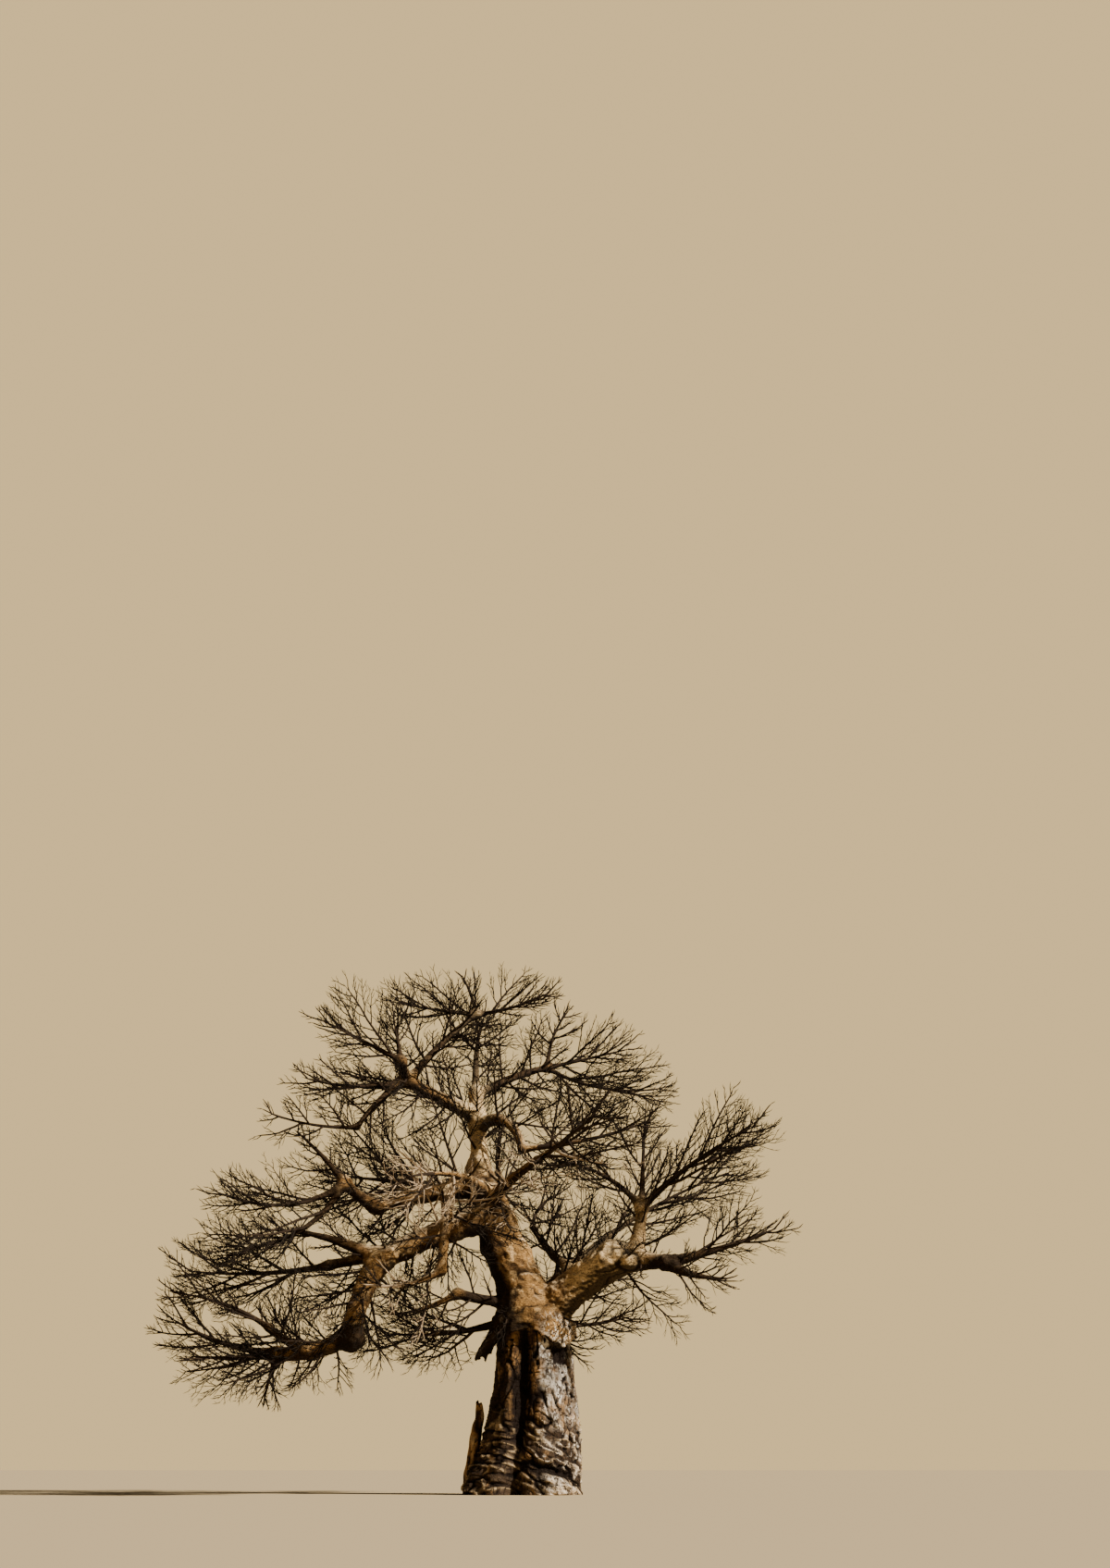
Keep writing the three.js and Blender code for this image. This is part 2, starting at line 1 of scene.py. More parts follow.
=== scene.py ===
"""Looks of the bare baobab: bark relief on the trunk and boughs, and twigs to the finest.

Units are metres and +Z is up. +X is to the right of the tree's broad view and +Y is away
from it. A heading turns in degrees from +X towards +Y, and a climb is degrees above level.
"""

import math

import bpy
import numpy as np
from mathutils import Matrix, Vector


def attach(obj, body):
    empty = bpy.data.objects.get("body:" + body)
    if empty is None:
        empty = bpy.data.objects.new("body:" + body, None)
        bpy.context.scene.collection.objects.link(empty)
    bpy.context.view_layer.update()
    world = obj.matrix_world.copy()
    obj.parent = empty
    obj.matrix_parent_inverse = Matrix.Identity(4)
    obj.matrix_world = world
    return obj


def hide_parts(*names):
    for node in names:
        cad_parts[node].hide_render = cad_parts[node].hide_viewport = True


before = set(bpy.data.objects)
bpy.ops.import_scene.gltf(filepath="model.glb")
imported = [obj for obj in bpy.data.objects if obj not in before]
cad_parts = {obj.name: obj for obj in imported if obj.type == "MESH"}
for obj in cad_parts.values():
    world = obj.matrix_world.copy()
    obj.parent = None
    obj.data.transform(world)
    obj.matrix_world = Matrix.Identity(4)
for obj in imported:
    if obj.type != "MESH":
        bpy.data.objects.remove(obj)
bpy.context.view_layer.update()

UP = np.array([0.0, 0.0, 1.0])

# Trunk stations: height, lean to the right, lean to the back, radius
TRUNK = np.array([
    [0.0, 0.02, 0.00, 1.56],
    [0.6, 0.08, 0.00, 1.50],
    [1.8, 0.20, 0.00, 1.40],
    [3.2, 0.25, 0.00, 1.22],
    [4.4, 0.25, 0.00, 1.18],
    [4.9, 0.22, 0.00, 1.16],
    [5.4, 0.14, 0.00, 0.96],
    [6.0, -0.10, 0.00, 0.80],
    [7.0, -0.59, -0.05, 0.75],
    [8.2, -1.00, -0.10, 0.60],
    [9.0, -1.34, 0.00, 0.54],
    [9.6, -1.50, 0.00, 0.40],
])
TRUNK_TOP = 9.6
# Flutes and root lobes: heading, half width in degrees, relief at the ground, relief at
# mid trunk, and the height where the lobe has died away
LOBES = [
    [298, 24, 0.26, 0.06, 4.6],
    [215, 20, 0.28, 0.10, 4.8],
    [237, 9, 0.06, 0.12, 4.5],
    [350, 22, 0.12, 0.06, 4.6],
    [160, 24, 0.20, 0.06, 4.6],
    [100, 26, 0.24, 0.08, 4.6],
    [45, 24, 0.26, 0.08, 4.6],
]
FLARE_FADE = 0.7
LOBE_FADE = 1.2
# The left root's knee and the groove beside it
KNEE = {"heading": 205, "half_width": 24, "height": 0.55, "half_height": 0.75, "reach": 0.34}
GROOVE = {"heading": 255, "half_width": 10, "depth": 0.24, "top": 4.9, "fade": 0.8}
# The broken stub that stands on the left root, and the flap of bark that hangs from the
# lip: root, heading and climb, length, radii at both ends
STUB = {"root": (-1.62, -0.50, 0.3), "lean": (10, 83), "length": 2.2, "radii": (0.22, 0.13)}
FLAP = {"root": (-0.62, -0.42, 4.95), "lean": (186, -51), "length": 1.38, "radii": (0.34, 0.07)}

# Boughs: parent, metres along it, headings and climbs at both ends, length, radii
BOUGHS = {
    "leader": ("trunk", 9.6, (130, 160), (84, 86), 2.75, (0.29, 0.19)),
    "upper_left_bough": ("leader", 2.0, (206, 206), (18, 26), 2.6, (0.22, 0.15)),
    "summit_bough": ("upper_left_bough", 2.5, (34, 26), (52, 38), 3.3, (0.13, 0.09)),
    "crook_bough": ("upper_left_bough", 2.5, (240, 275), (28, 30), 0.95, (0.15, 0.11)),
    "left_drop_bough": ("upper_left_bough", 2.6, (212, 222), (-34, -52), 2.4, (0.13, 0.07)),
    "upper_right_bough": ("leader", 2.65, (30, 36), (31, 15), 2.9, (0.14, 0.09)),
    "elbow_bough": ("leader", 1.65, (316, 306), (25, -70), 2.6, (0.19, 0.13)),
    "shoulder_bough": ("trunk", 9.45, (202, 212), (-9, -18), 3.65, (0.36, 0.20)),
    "shoulder_reach": ("shoulder_bough", 3.6, (218, 212), (14, 44), 1.3, (0.19, 0.14)),
    "low_left_bough": ("trunk", 8.4, (222, 214), (-14, -27), 4.45, (0.40, 0.31)),
    "low_left_drop": ("low_left_bough", 4.45, (222, 215), (-50, -84), 2.45, (0.30, 0.30)),
    "low_left_arm": ("low_left_drop", 2.4, (168, 170), (-30, 4), 2.3, (0.27, 0.16)),
    "low_left_high": ("low_left_arm", 1.3, (198, 196), (14, 40), 1.4, (0.14, 0.10)),
    "mid_left_bough": ("low_left_bough", 3.6, (155, 156), (-10, -8), 2.6, (0.22, 0.13)),
    "front_droop_bough": ("shoulder_bough", 1.3, (282, 258), (-18, -74), 3.8, (0.20, 0.13)),
    "spur_bough": ("trunk", 5.6, (199, 203), (-4, 14), 2.3, (0.19, 0.13)),
    "low_right_bough": ("trunk", 4.9, (340, 336), (42, 30), 3.3, (0.58, 0.46)),
    "low_right_reach": ("low_right_bough", 3.15, (334, 326), (0, -10), 1.9, (0.42, 0.23)),
    "right_upright": ("low_right_reach", 0.75, (20, 50), (74, 82), 1.6, (0.25, 0.15)),
    "back_right_bough": ("trunk", 5.5, (35, 34), (40, 34), 3.7, (0.18, 0.11)),
    "back_stub_bough": ("back_right_bough", 1.9, (124, 112), (24, 38), 2.9, (0.15, 0.08)),
    "back_bough": ("trunk", 8.9, (80, 88), (16, 4), 3.4, (0.26, 0.14)),
    "front_right_bough": ("trunk", 8.9, (305, 292), (24, 6), 3.4, (0.24, 0.13)),
}

# Masses of twigs, by the first part of their node's name: limb, metres along the trunk or
# None for a bough's tip, the stem's headings and climbs, its reach, its radius at the root,
# the angle at which its twigs leave it, and the share of it that is bare
TWIG_MASSES = {
    "summit": ("summit_bough", None, (120, 150), (66, 60), 1.55, 0.07, 58, 0.05),
    "summit_left": ("summit_bough", None, (190, 170), (2, 16), 2.6, 0.07, 38, 0.05),
    "summit_right": ("summit_bough", None, (14, 20), (8, 32), 2.7, 0.07, 40, 0.05),
    "crest_left": ("crook_bough", None, (186, 176), (28, 26), 3.0, 0.08, 38, 0.05),
    "crest_up": ("crook_bough", None, (120, 80), (56, 60), 2.1, 0.08, 46, 0.05),
    "brow_left": ("upper_left_bough", None, (222, 180), (-22, 18), 3.5, 0.10, 44, 0.1),
    "left_drop": ("left_drop_bough", None, (200, 182), (-6, 22), 2.8, 0.06, 62, 0.02),
    "crest_right_up": ("upper_right_bough", None, (70, 10), (80, 50), 2.3, 0.07, 62, 0.1),
    "crest_right": ("upper_right_bough", None, (10, 2), (14, 14), 2.8, 0.07, 45, 0.05),
    "right_eave": ("upper_right_bough", None, (-30, 8), (-33, 10), 4.0, 0.07, 36, 0.05),
    "back_top": ("leader", None, (95, 80), (56, 34), 4.4, 0.12, 46, 0.1),
    "heart_right": ("elbow_bough", None, (-20, 14), (0, 24), 4.2, 0.10, 50, 0.03),
    "shoulder_up": ("shoulder_reach", None, (165, 150), (50, 36), 2.5, 0.10, 56, 0.05),
    "far_left": ("shoulder_reach", None, (216, 180), (-38, 26), 4.1, 0.10, 40, 0.2),
    "left_lower": ("shoulder_reach", None, (212, 190), (-62, 2), 4.4, 0.10, 42, 0.2),
    "inner_left": ("low_left_bough", None, (186, 160), (28, 0), 3.8, 0.14, 46, 0.06),
    "mid_left": ("mid_left_bough", None, (158, 184), (-8, 6), 4.6, 0.10, 46, 0.04),
    "low_left_high": ("low_left_high", None, (180, 180), (34, 4), 3.1, 0.08, 48, 0.04),
    "far_tip": ("low_left_arm", None, (170, 180), (4, 32), 3.5, 0.12, 42, 0.08),
    "skirt": ("low_left_arm", None, (202, 186), (-10, 6), 2.6, 0.12, 40, 0.06),
    "hanging": ("low_left_arm", None, (190, 200), (-70, -82), 1.6, 0.06, 50, 0.2),
    "front_droop": ("front_droop_bough", None, (225, 200), (-30, 10), 2.8, 0.10, 66, 0.02),
    "front": ("trunk", 9.0, (262, 230), (14, -14), 5.6, 0.17, 60, 0.24),
    "spur": ("spur_bough", None, (205, 190), (-30, -6), 2.2, 0.10, 66, 0.02),
    "low_back": ("trunk", 5.3, (148, 160), (-17, 5), 5.1, 0.13, 44, 0.32),
    "low_right_far": ("low_right_reach", None, (-8, 8), (12, 22), 3.5, 0.15, 38, 0.04),
    "low_right_under": ("low_right_reach", None, (-48, -6), (-30, 2), 2.2, 0.13, 46, 0.04),
    "right_high": ("right_upright", None, (-30, -16), (40, 23), 4.4, 0.11, 36, 0.06),
    "right_inner": ("right_upright", None, (145, 158), (48, 6), 3.7, 0.10, 42, 0.12),
    "right_up": ("right_upright", None, (80, 70), (76, 80), 3.0, 0.09, 46, 0.08),
    "back_right": ("back_right_bough", None, (30, 8), (34, 20), 5.0, 0.08, 42, 0.05),
    "back_stub": ("back_stub_bough", None, (90, 50), (36, 20), 2.9, 0.06, 56, 0.03),
    "back": ("back_bough", None, (92, 88), (8, 20), 4.2, 0.10, 56, 0.05),
    "back_left": ("trunk", 9.2, (128, 136), (10, 8), 7.4, 0.20, 48, 0.34),
    "front_right": ("front_right_bough", None, (290, 304), (6, 20), 4.0, 0.10, 56, 0.05),
    "lip": ("trunk", 4.9, (14, 4), (-4, 16), 3.2, 0.09, 60, 0.42),
}
PLACES = list(TWIG_MASSES)

# Twig rule of the source for side twigs and fine twigs, carried on to spurs and tips. The
# spacing is how many metres of the parent each of them takes up at least, and the masses
# give the angle and the bare share for side twigs
SIDE = {"count": 12, "share": 0.75, "bend": 0.5, "lift": 0.35, "steps": 6, "turn": 50,
        "spacing": 0.20}
FINE = {"count": 12, "share": 0.56, "bend": 0.45, "lift": 0.35, "steps": 4, "turn": 70,
        "angle": 46, "spacing": 0.17, "bare": 0.12}
SPUR = {"count": 7, "share": 0.60, "bend": 0.45, "lift": 0.45, "steps": 3, "turn": 70,
        "angle": 44, "spacing": 0.17, "bare": 0.22}
TIP = {"count": 2, "share": 0.55, "bend": 0.30, "lift": 0.40, "steps": 2, "turn": 70,
       "angle": 42, "spacing": 0.20, "bare": 0.30}
# Spurs and tips that would be shorter than this are left out
SHORTEST_SPUR = 0.16
SHORTEST_TIP = 0.11
# Radius of side twigs, fine twigs, spurs and tips: at the root, what each metre of length
# adds to that, and at the end. Sides of the tubes of stems and of these
GIRTHS = [(0.022, 0.010, 0.015), (0.013, 0.010, 0.009), (0.010, 0.004, 0.0065),
          (0.0075, 0.003, 0.005)]
TUBE_SIDES = (8, 5, 3, 3, 3)
# Sideways wave of side twigs, fine twigs and spurs, as a share of their length
WAVES = (0.012, 0.035, 0.05)
# Share of the fine twigs that masses keep whose stems run away from the broad view
OPENER = {"back_stub": 0.3, "back": 0.4, "right_inner": 0.55}
# Boughs with more side twigs than the rest, so many times as many
FULLER = {"low_left_arm": 1.8, "low_left_drop": 1.8, "low_left_high": 2.2, "summit_bough": 1.5,
          "upper_left_bough": 1.5, "upper_right_bough": 1.5}
# Where twigs crowd they are thinned: the side of a cell in metres, and how many fine twigs,
# spurs and tips may have their middle in one cell. Left of a place there may be more
CROWD = {"cell": 0.45, "fine": 3, "spur": 4, "tip": 4, "left_of": -3.6, "left": 1.7}
# Twigs that hang beside the right end of the lip: heading, climb and length
LIP_SPRAY_ROOT = np.array([1.15, -0.15, 4.45])
LIP_SPRAYS = [(-40, -50, 1.1), (0, -62, 1.2), (20, -30, 1.3), (-15, -12, 1.2), (35, -58, 1.0)]
# Long side twigs that boughs bear: how many a metre, the share of the bough where they
# start and over which they go on, the degrees from one bough's to the next's, how long the
# first and last ones are, the angle at which they leave the bough, how far chance turns them
# and shares of the angle and length that it picks from, and the room round a bough
BOUGH_SPRAYS = {"a_metre": 3.4, "start": 0.18, "run": 0.8, "next": 77, "lengths": (2.4, 1.5),
                "angle": 62, "turn": 50, "angles": (0.75, 1.25), "reaches": (0.6, 1.3),
                "steps": 6, "bend": 0.35, "lift": 0.35, "space": 0.05}
# Number of the first of them, past the numbers of the masses' side twigs
FIRST_SPRAY = 641
STEM_TIP = 0.02
GOLDEN = 137.5
# Share of a parent where its last twig stands, share by which the angle closes on the
# way there, and how the length falls off along the parent
LAST_PLACE = 0.98
CLOSING = 0.25
FALL = {"end": 1.12, "power": 0.7}
# How much chance moves a twig's place, its angle and its length
LUCK = {"place": 0.7, "angle": 0.4, "length": 0.5}
# Space that a twig keeps from another mass's stem, from limbs and from the trunk's middle
OWN_SPACE = 0.14
LIMB_SPACE = 0.12
TRUNK_SPACE = 0.9
# A twig that isn't free shrinks to this much of its free part, and at last is left out
SHRINK = 0.9
LEAST_FREE = 0.3
PATH_STEPS = 12
SMOOTH_STEPS = 36


def unit(vectors):
    """Vectors divided by their length."""
    return vectors / np.maximum(np.linalg.norm(vectors, axis=-1, keepdims=True), 1e-12)


def mix(a, b, t):
    """Value at share t between a and b."""
    return a + (b - a) * t


def ramp(values, low, high):
    """Smooth rise from 0 at low to 1 at high."""
    t = np.clip((values - low) / (high - low), 0, 1)
    return t * t * (3 - 2 * t)


def direction(heading, climb):
    """Unit vector of a heading and a climb."""
    h, c = np.radians(heading), np.radians(climb)
    return np.stack([np.cos(c) * np.cos(h), np.cos(c) * np.sin(h), np.sin(c)], -1)


def sweep(start, headings, climbs, length, steps):
    """Path whose heading and climb turn evenly from first to last along its length."""
    t = (np.arange(steps) + 0.5) / steps
    stride = direction(mix(*headings, t), mix(*climbs, t)) * (length / steps)
    return np.vstack([start, start + np.cumsum(stride, 0)])


def point_along(path, distance):
    """Point at a distance along a path, no further than its end."""
    run = np.concatenate([[0], np.cumsum(np.linalg.norm(np.diff(path, axis=0), axis=1))])
    return np.array([np.interp(min(distance, run[-1]), run, path[:, i]) for i in range(3)])


def chance(ids, channel):
    """Numbers from 0 to 1 that depend only on a twig's number and the channel."""
    seed = np.uint32((channel * 0x85EBCA77) & 0xFFFFFFFF)
    h = np.asarray(ids, np.uint32) * np.uint32(0x9E3779B1) + seed
    h = (h ^ (h >> np.uint32(15))) * np.uint32(0x2C1B3C6D)
    h = (h ^ (h >> np.uint32(12))) * np.uint32(0x297A2D39)
    return (h ^ (h >> np.uint32(15))) / 4294967296.0


def lattice(cells, seed):
    """Number from -1 to 1 for each whole-number cell."""
    h = (cells[:, 0] * 73856093) ^ (cells[:, 1] * 19349663) ^ (cells[:, 2] * 83492791)
    h = (h + seed * 374761393) & 0xFFFFFFFF
    return chance(h.astype(np.uint32), seed) * 2 - 1


def lumps(points, size, seed):
    """Smooth noise from -1 to 1 with lumps of about the size: lattice numbers blended by
    the smooth step of each coordinate."""
    place = points / size
    cell = np.floor(place).astype(np.int64)
    part = place - cell
    part = part * part * (3 - 2 * part)
    total = np.zeros(len(points))
    for corner in np.ndindex(2, 2, 2):
        share = np.prod(np.where(corner, part, 1 - part), axis=1)
        total += share * lattice(cell + corner, seed)
    return total


def creases(points, size, seed, sharp=2.2):
    """1 along thin winding lines, falling to 0 between them: one minus so many times the
    size of the lumps, squared."""
    return np.clip(1 - sharp * np.abs(lumps(points, size, seed)), 0, 1) ** 2


def to_segments(points, path, radii):
    """Distance of points from a tapering path's skin, where the nearest spot lies along it
    from 0 to 1, and the vector from that spot to the point."""
    a, b = path[:-1], path[1:]
    span = b - a
    reach = points[:, None, :] - a[None]
    t = np.clip((reach * span).sum(-1) / (span * span).sum(-1), 0, 1)
    gap = reach - t[..., None] * span
    size = np.linalg.norm(gap, axis=-1) - mix(radii[:-1], radii[1:], t)
    best = size.argmin(1)
    rows = np.arange(len(points))
    return size[rows, best], (best + t[rows, best]) / len(a), gap[rows, best]


def path_distance(points, path):
    """Least distance of points from a path's middle line."""
    return to_segments(points, path, np.zeros(len(path)))[0]


def within(points, limbs, space):
    """Whether points are nearer to any limb's middle line than its radius and a space."""
    near = np.zeros(len(points), bool)
    for path, radius in limbs:
        near |= path_distance(points, path) < radius + space
    return near


def across(along):
    """Two directions square to the given one and to each other, the first of them level."""
    side = unit(np.cross(along, UP) + 1e-9)
    return side, np.cross(side, along)


def leaving(along, roll, spread):
    """Straight out from a limb at a roll round it, and the heading of a twig that leaves it
    at a spread: along it by the cosine and out by the sine. Angles are degrees."""
    side, other = across(along)
    roll, spread = np.radians(roll)[..., None], np.radians(spread)[..., None]
    out = side * np.cos(roll) + other * np.sin(roll)
    return out, along * np.cos(spread) + out * np.sin(spread)


def bent_paths(start, heading, along, rule, length):
    """Paths of twigs that set out by their heading and bend along the parent and upwards:
    each step goes by the heading plus a growing share of both, at unit length."""
    u = ((np.arange(rule["steps"]) + 0.5) / rule["steps"])[:, None]
    pull = along * rule["bend"] + UP * rule["lift"]
    stride = unit(heading[..., None, :] + u * pull[..., None, :])
    stride = stride * (length / rule["steps"])[..., None, None]
    start = start[..., None, :]
    return np.concatenate([start, start + np.cumsum(stride, -2)], -2)


def skeleton():
    """Middle lines of the trunk and boughs, from their tables."""
    fine = np.linspace(0, TRUNK_TOP, 97)
    paths = {"trunk": np.column_stack([trunk_middle(fine), fine])}
    for name, (parent, at, headings, climbs, length, _) in BOUGHS.items():
        start = point_along(paths[parent], at)
        paths[name] = sweep(start, headings, climbs, length, SMOOTH_STEPS)
    return paths


def stem_path(paths, mass, steps):
    """Middle line of a mass's stem, from its place on the trunk or its bough's tip."""
    limb, at, headings, climbs, reach = mass[:5]
    root = paths[limb][-1] if at is None else point_along(paths[limb], at)
    return sweep(root, headings, climbs, reach, steps)


def stems_of_masses(paths):
    """Every mass's stem as one twig record, whose arrays have a row for each twig."""
    masses = TWIG_MASSES.values()
    length, radius, fan, bare = np.array([mass[4:] for mass in masses], float).T
    number = np.arange(len(PLACES))
    return {
        "path": np.array([stem_path(paths, mass, PATH_STEPS) for mass in masses]),
        "length": length,
        "radii": np.column_stack([radius, np.full(len(radius), STEM_TIP)]),
        "fan": fan[:, None],
        "bare": bare[:, None],
        "id": (number + 1).astype(np.uint32),
        "mass": number,
    }


def branch(parent, rule, level):
    """Side twigs of every parent twig by the source's seeded rule. Twigs of a stem leave it
    all round, finer ones by turns on two sides, and all bend along and upwards."""
    number, corners, _ = parent["path"].shape
    k = np.arange(rule["count"])
    ids = parent["id"][:, None] * np.uint32(16) + (k + 1).astype(np.uint32)
    whole = parent["length"][:, None]

    def jitter(channel):
        return chance(ids, channel + 10 * level) - 0.5

    first = rule.get("bare", parent.get("bare"))
    t = mix(first, LAST_PLACE, (k + 0.5 + LUCK["place"] * jitter(1)) / rule["count"])
    ahead = np.clip((t * (corners - 1)).astype(int), 0, corners - 2)
    rows = np.arange(number)[:, None]
    a, b = parent["path"][rows, ahead], parent["path"][rows, ahead + 1]
    start = mix(a, b, (t * (corners - 1) - ahead)[..., None])
    along = unit(b - a)
    turn = (GOLDEN if level == 2 else 180) * k + rule["turn"] * jitter(2)
    roll = turn + 360 * chance(parent["id"], 5)[:, None]
    angle = rule.get("angle", parent.get("fan")) * (1 - CLOSING * t)
    _, heading = leaving(along, roll, angle * (1 + LUCK["angle"] * jitter(3)))
    fall = (FALL["end"] - t) ** FALL["power"]
    length = whole * rule["share"] * fall * (1 + LUCK["length"] * jitter(4))
    path = bent_paths(start, heading, along, rule, length)
    twigs = {
        "path": path.reshape(-1, rule["steps"] + 1, 3),
        "length": length.ravel(),
        "id": ids.ravel(),
        "mass": np.repeat(parent["mass"], len(k)),
    }
    crowd = whole / (rule["count"] * rule["spacing"])
    return pick(twigs, (chance(ids, 75 + level) < crowd).ravel())


def pick(twigs, kept):
    """Only the rows of a twig record that are kept."""
    return {key: values[kept] for key, values in twigs.items()}


def joined(records):
    """Several twig records with paths of the same steps as one."""
    return {key: np.concatenate([record[key] for record in records]) for key in records[0]}


def evened(twigs, most):
    """Twigs thinned where they crowd: those with their middles in one cell of a grid are put
    in a chance order, and only the first so many stay."""
    middle = twigs["path"].mean(1)
    cell = np.floor(middle / CROWD["cell"]).astype(np.int64)
    _, key = np.unique(cell, axis=0, return_inverse=True)
    key = key.ravel()
    order = np.lexsort((chance(twigs["id"], 84), key))
    first = np.searchsorted(key[order], key[order])
    room = most * np.where(middle[order, 0] < CROWD["left_of"], CROWD["left"], 1.0)
    return pick(twigs, order[np.arange(len(order)) - first < room])


def fitted(twigs, limbs, stems=None):
    """Twigs that keep clear of the limbs and, where stems are given, nearer to their own
    stem than to any other. A twig shrinks about its root to that, and is left out where
    little of it is free."""
    number, corners, _ = twigs["path"].shape
    points = twigs["path"].reshape(-1, 3)
    bad = np.zeros(len(points), bool)
    if stems is not None:
        near = np.stack([path_distance(points, path) for path in stems["path"]], -1)
        own = np.repeat(twigs["mass"], corners)
        rows = np.arange(len(points))
        mine = near[rows, own].copy()
        near[rows, own] = np.inf
        bad |= near.min(1) < mine + OWN_SPACE
    bad |= within(points, limbs, LIMB_SPACE)
    bad = bad.reshape(number, corners)
    bad[:, 0] = False
    share = np.where(bad.any(1), SHRINK * (bad.argmax(1) - 1) / (corners - 1), 1.0)
    kept = share >= LEAST_FREE
    path = twigs["path"]
    path = path[:, :1] + (path - path[:, :1]) * share[:, None, None]
    return pick({**twigs, "path": path, "length": twigs["length"] * share}, kept)


def waved(twigs, share, channel):
    """Twigs with a small sideways wave: a slow sine whose size is a share of the length,
    turned at random and fading in from the root."""
    path = twigs["path"]
    u = np.linspace(0, 1, path.shape[1])[None, :]
    for i, axis in enumerate(across(unit(path[:, -1] - path[:, 0]))):
        phase = 2 * np.pi * chance(twigs["id"], channel + i)[:, None]
        turns = 1.0 + 1.2 * chance(twigs["id"], channel + 2 + i)[:, None]
        wave = np.sin(2 * np.pi * turns * u + phase) - np.sin(phase)
        size = share * twigs["length"][:, None] * wave * (0.3 + 0.7 * u)
        path = path + size[..., None] * axis[:, None, :]
    return {**twigs, "path": path}


def grid_faces(rings, sides):
    """Four-sided faces between rings of the same number of points."""
    j = np.arange(sides)
    step = (np.arange(rings - 1) * sides)[:, None]
    after = (j + 1) % sides
    return np.stack([step + j, step + after, step + sides + after, step + sides + j], -1).reshape(-1, 4)


def tubes(paths, radii, sides):
    """Round tubes that end in a point, one for each path: rings square to the path with a
    radius at each of its points, then the path's end. Gives points and faces."""
    number, corners, _ = paths.shape
    tangent = unit(np.gradient(paths, axis=1))
    chord = np.abs(unit(paths[:, -1] - paths[:, 0]))
    guide = np.eye(3)[chord.argmin(1)][:, None, :]
    side = unit(np.cross(tangent, np.broadcast_to(guide, tangent.shape)))
    other = np.cross(tangent, side)
    angle = 2 * np.pi * np.arange(sides) / sides
    ring = (side[:, :-1, None] * np.cos(angle)[:, None]
            + other[:, :-1, None] * np.sin(angle)[:, None])
    skin = paths[:, :-1, None] + ring * radii[:, :-1, None, None]
    points = np.concatenate([skin.reshape(number, -1, 3), paths[:, -1:]], 1)
    j = np.arange(sides)
    last = (corners - 2) * sides
    ends = np.stack([last + j, last + (j + 1) % sides, np.full(sides, last + sides)], -1)
    first = (np.arange(number) * points.shape[1])[:, None, None]
    return points.reshape(-1, 3), [
        (grid_faces(corners - 1, sides)[None] + first).reshape(-1, 4),
        (ends[None] + first).reshape(-1, 3),
        (j[::-1][None, None] + first).reshape(-1, sides),
    ]


def merged(bodies):
    """Bodies of points and faces as one, with faces of as many corners in one group."""
    groups, offset = {}, 0
    for body, faces in bodies:
        for group in faces:
            groups.setdefault(group.shape[1], []).append(group + offset)
        offset += len(body)
    return np.vstack([body for body, _ in bodies]), [np.vstack(group) for group in groups.values()]


def new_piece(name, points, faces, finishes=(), numbers=None, finish_of_face=None):
    """A piece with a mesh of these points and groups of faces, and numbers at each point for
    its finish to read."""
    mesh = bpy.data.meshes.new(name)
    mesh.from_pydata(points.tolist(), [], [face for group in faces for face in group.tolist()])
    for finish in finishes:
        mesh.materials.append(finish)
    if finish_of_face is not None:
        mesh.polygons.foreach_set("material_index", finish_of_face.astype(np.int32))
    for key, values in (numbers or {}).items():
        mesh.attributes.new(key, "FLOAT", "POINT").data.foreach_set("value", values.astype(np.float32))
    mesh.shade_smooth()
    piece = bpy.data.objects.new(name, mesh)
    bpy.context.scene.collection.objects.link(piece)
    return piece


# Bark: how far the limbs melt into each other, and the size of a cell of the skin
BLEND = 0.07
CELL = 0.0462
# The lip's height, how far it stands out, the height over which that dies away, and the
# radius and rise of the wall inside it
LIP_HEIGHT = 4.62
LIP_REACH = 0.13
LIP_FADE = 1.1
LIP_INSIDE = (0.75, 0.12)
# Notches of the lip: depth, size and seed. Where it hangs lower: how much, heading and half
# width in degrees. Where the flap leaves it even: share, heading and half width
LIP_NOTCHES = [(0.16, 0.28, 11), (0.10, 0.09, 12)]
LIP_DROPS = [(0.42, 318, 28), (0.25, 120, 40)]
LIP_EVEN = (0.7, 235, 40)
# Knots in the bark: middle, half width and height
KNOTS = [(3.10, -1.60, 6.62, 0.20, 0.13), (-4.97, -3.20, 4.28, 0.30, 0.12),
         (-1.45, -1.30, 7.35, 0.16, 0.06)]
# Spots where a shadow is painted on the bark as near black: middle and half width
SHADOWED_SPOTS = [(-4.85, -3.45, 4.25, 0.42), (1.45, -0.95, 5.25, 0.16), (3.95, -1.80, 6.50, 0.34),
             (4.45, -2.05, 6.60, 0.36)]
# Fingers of the flap: place along it, heading, climb and length, and radii at both ends
FINGERS = [(4, 205, -62, 0.62), (5, 160, -80, 0.55), (3, 190, -75, 0.60)]
FINGER_RADII = (0.09, 0.03)
# Flare of a bough's root: share, and metres over which it fades for each metre of radius
ROOT_FLARE = (0.35, 1.6)
# Along a stem the bark goes on to this radius, and its root swells to this share of the
# bough's tip
LEAST_BARKED = 0.055
FORK_SHARE = 0.85
# Half thickness below which limbs darken, that at which they are dark, and the share of
# this that is taken off before the shoulder bough's root
THIN = (0.26, 0.10)
THIN_IN_FRONT = 0.8
# Sides of the tubes that the skin starts from, rings of the trunk, rounds in which it is
# moved onto the limbs, the most that it moves in each, and the share by which each round
# evens it out
LIMB_SIDES = 16
TRUNK_RINGS = 150
ROUNDS = 4
FARTHEST_MOVE = 0.1
EVENING = 0.3
# The lip isn't moved: level distance from the trunk's middle within which the skin is the
# lip's, and heights over its edge between which the skin is let go
LIP_ROUND = 1.7
LIP_HELD = (0.10, 0.35)
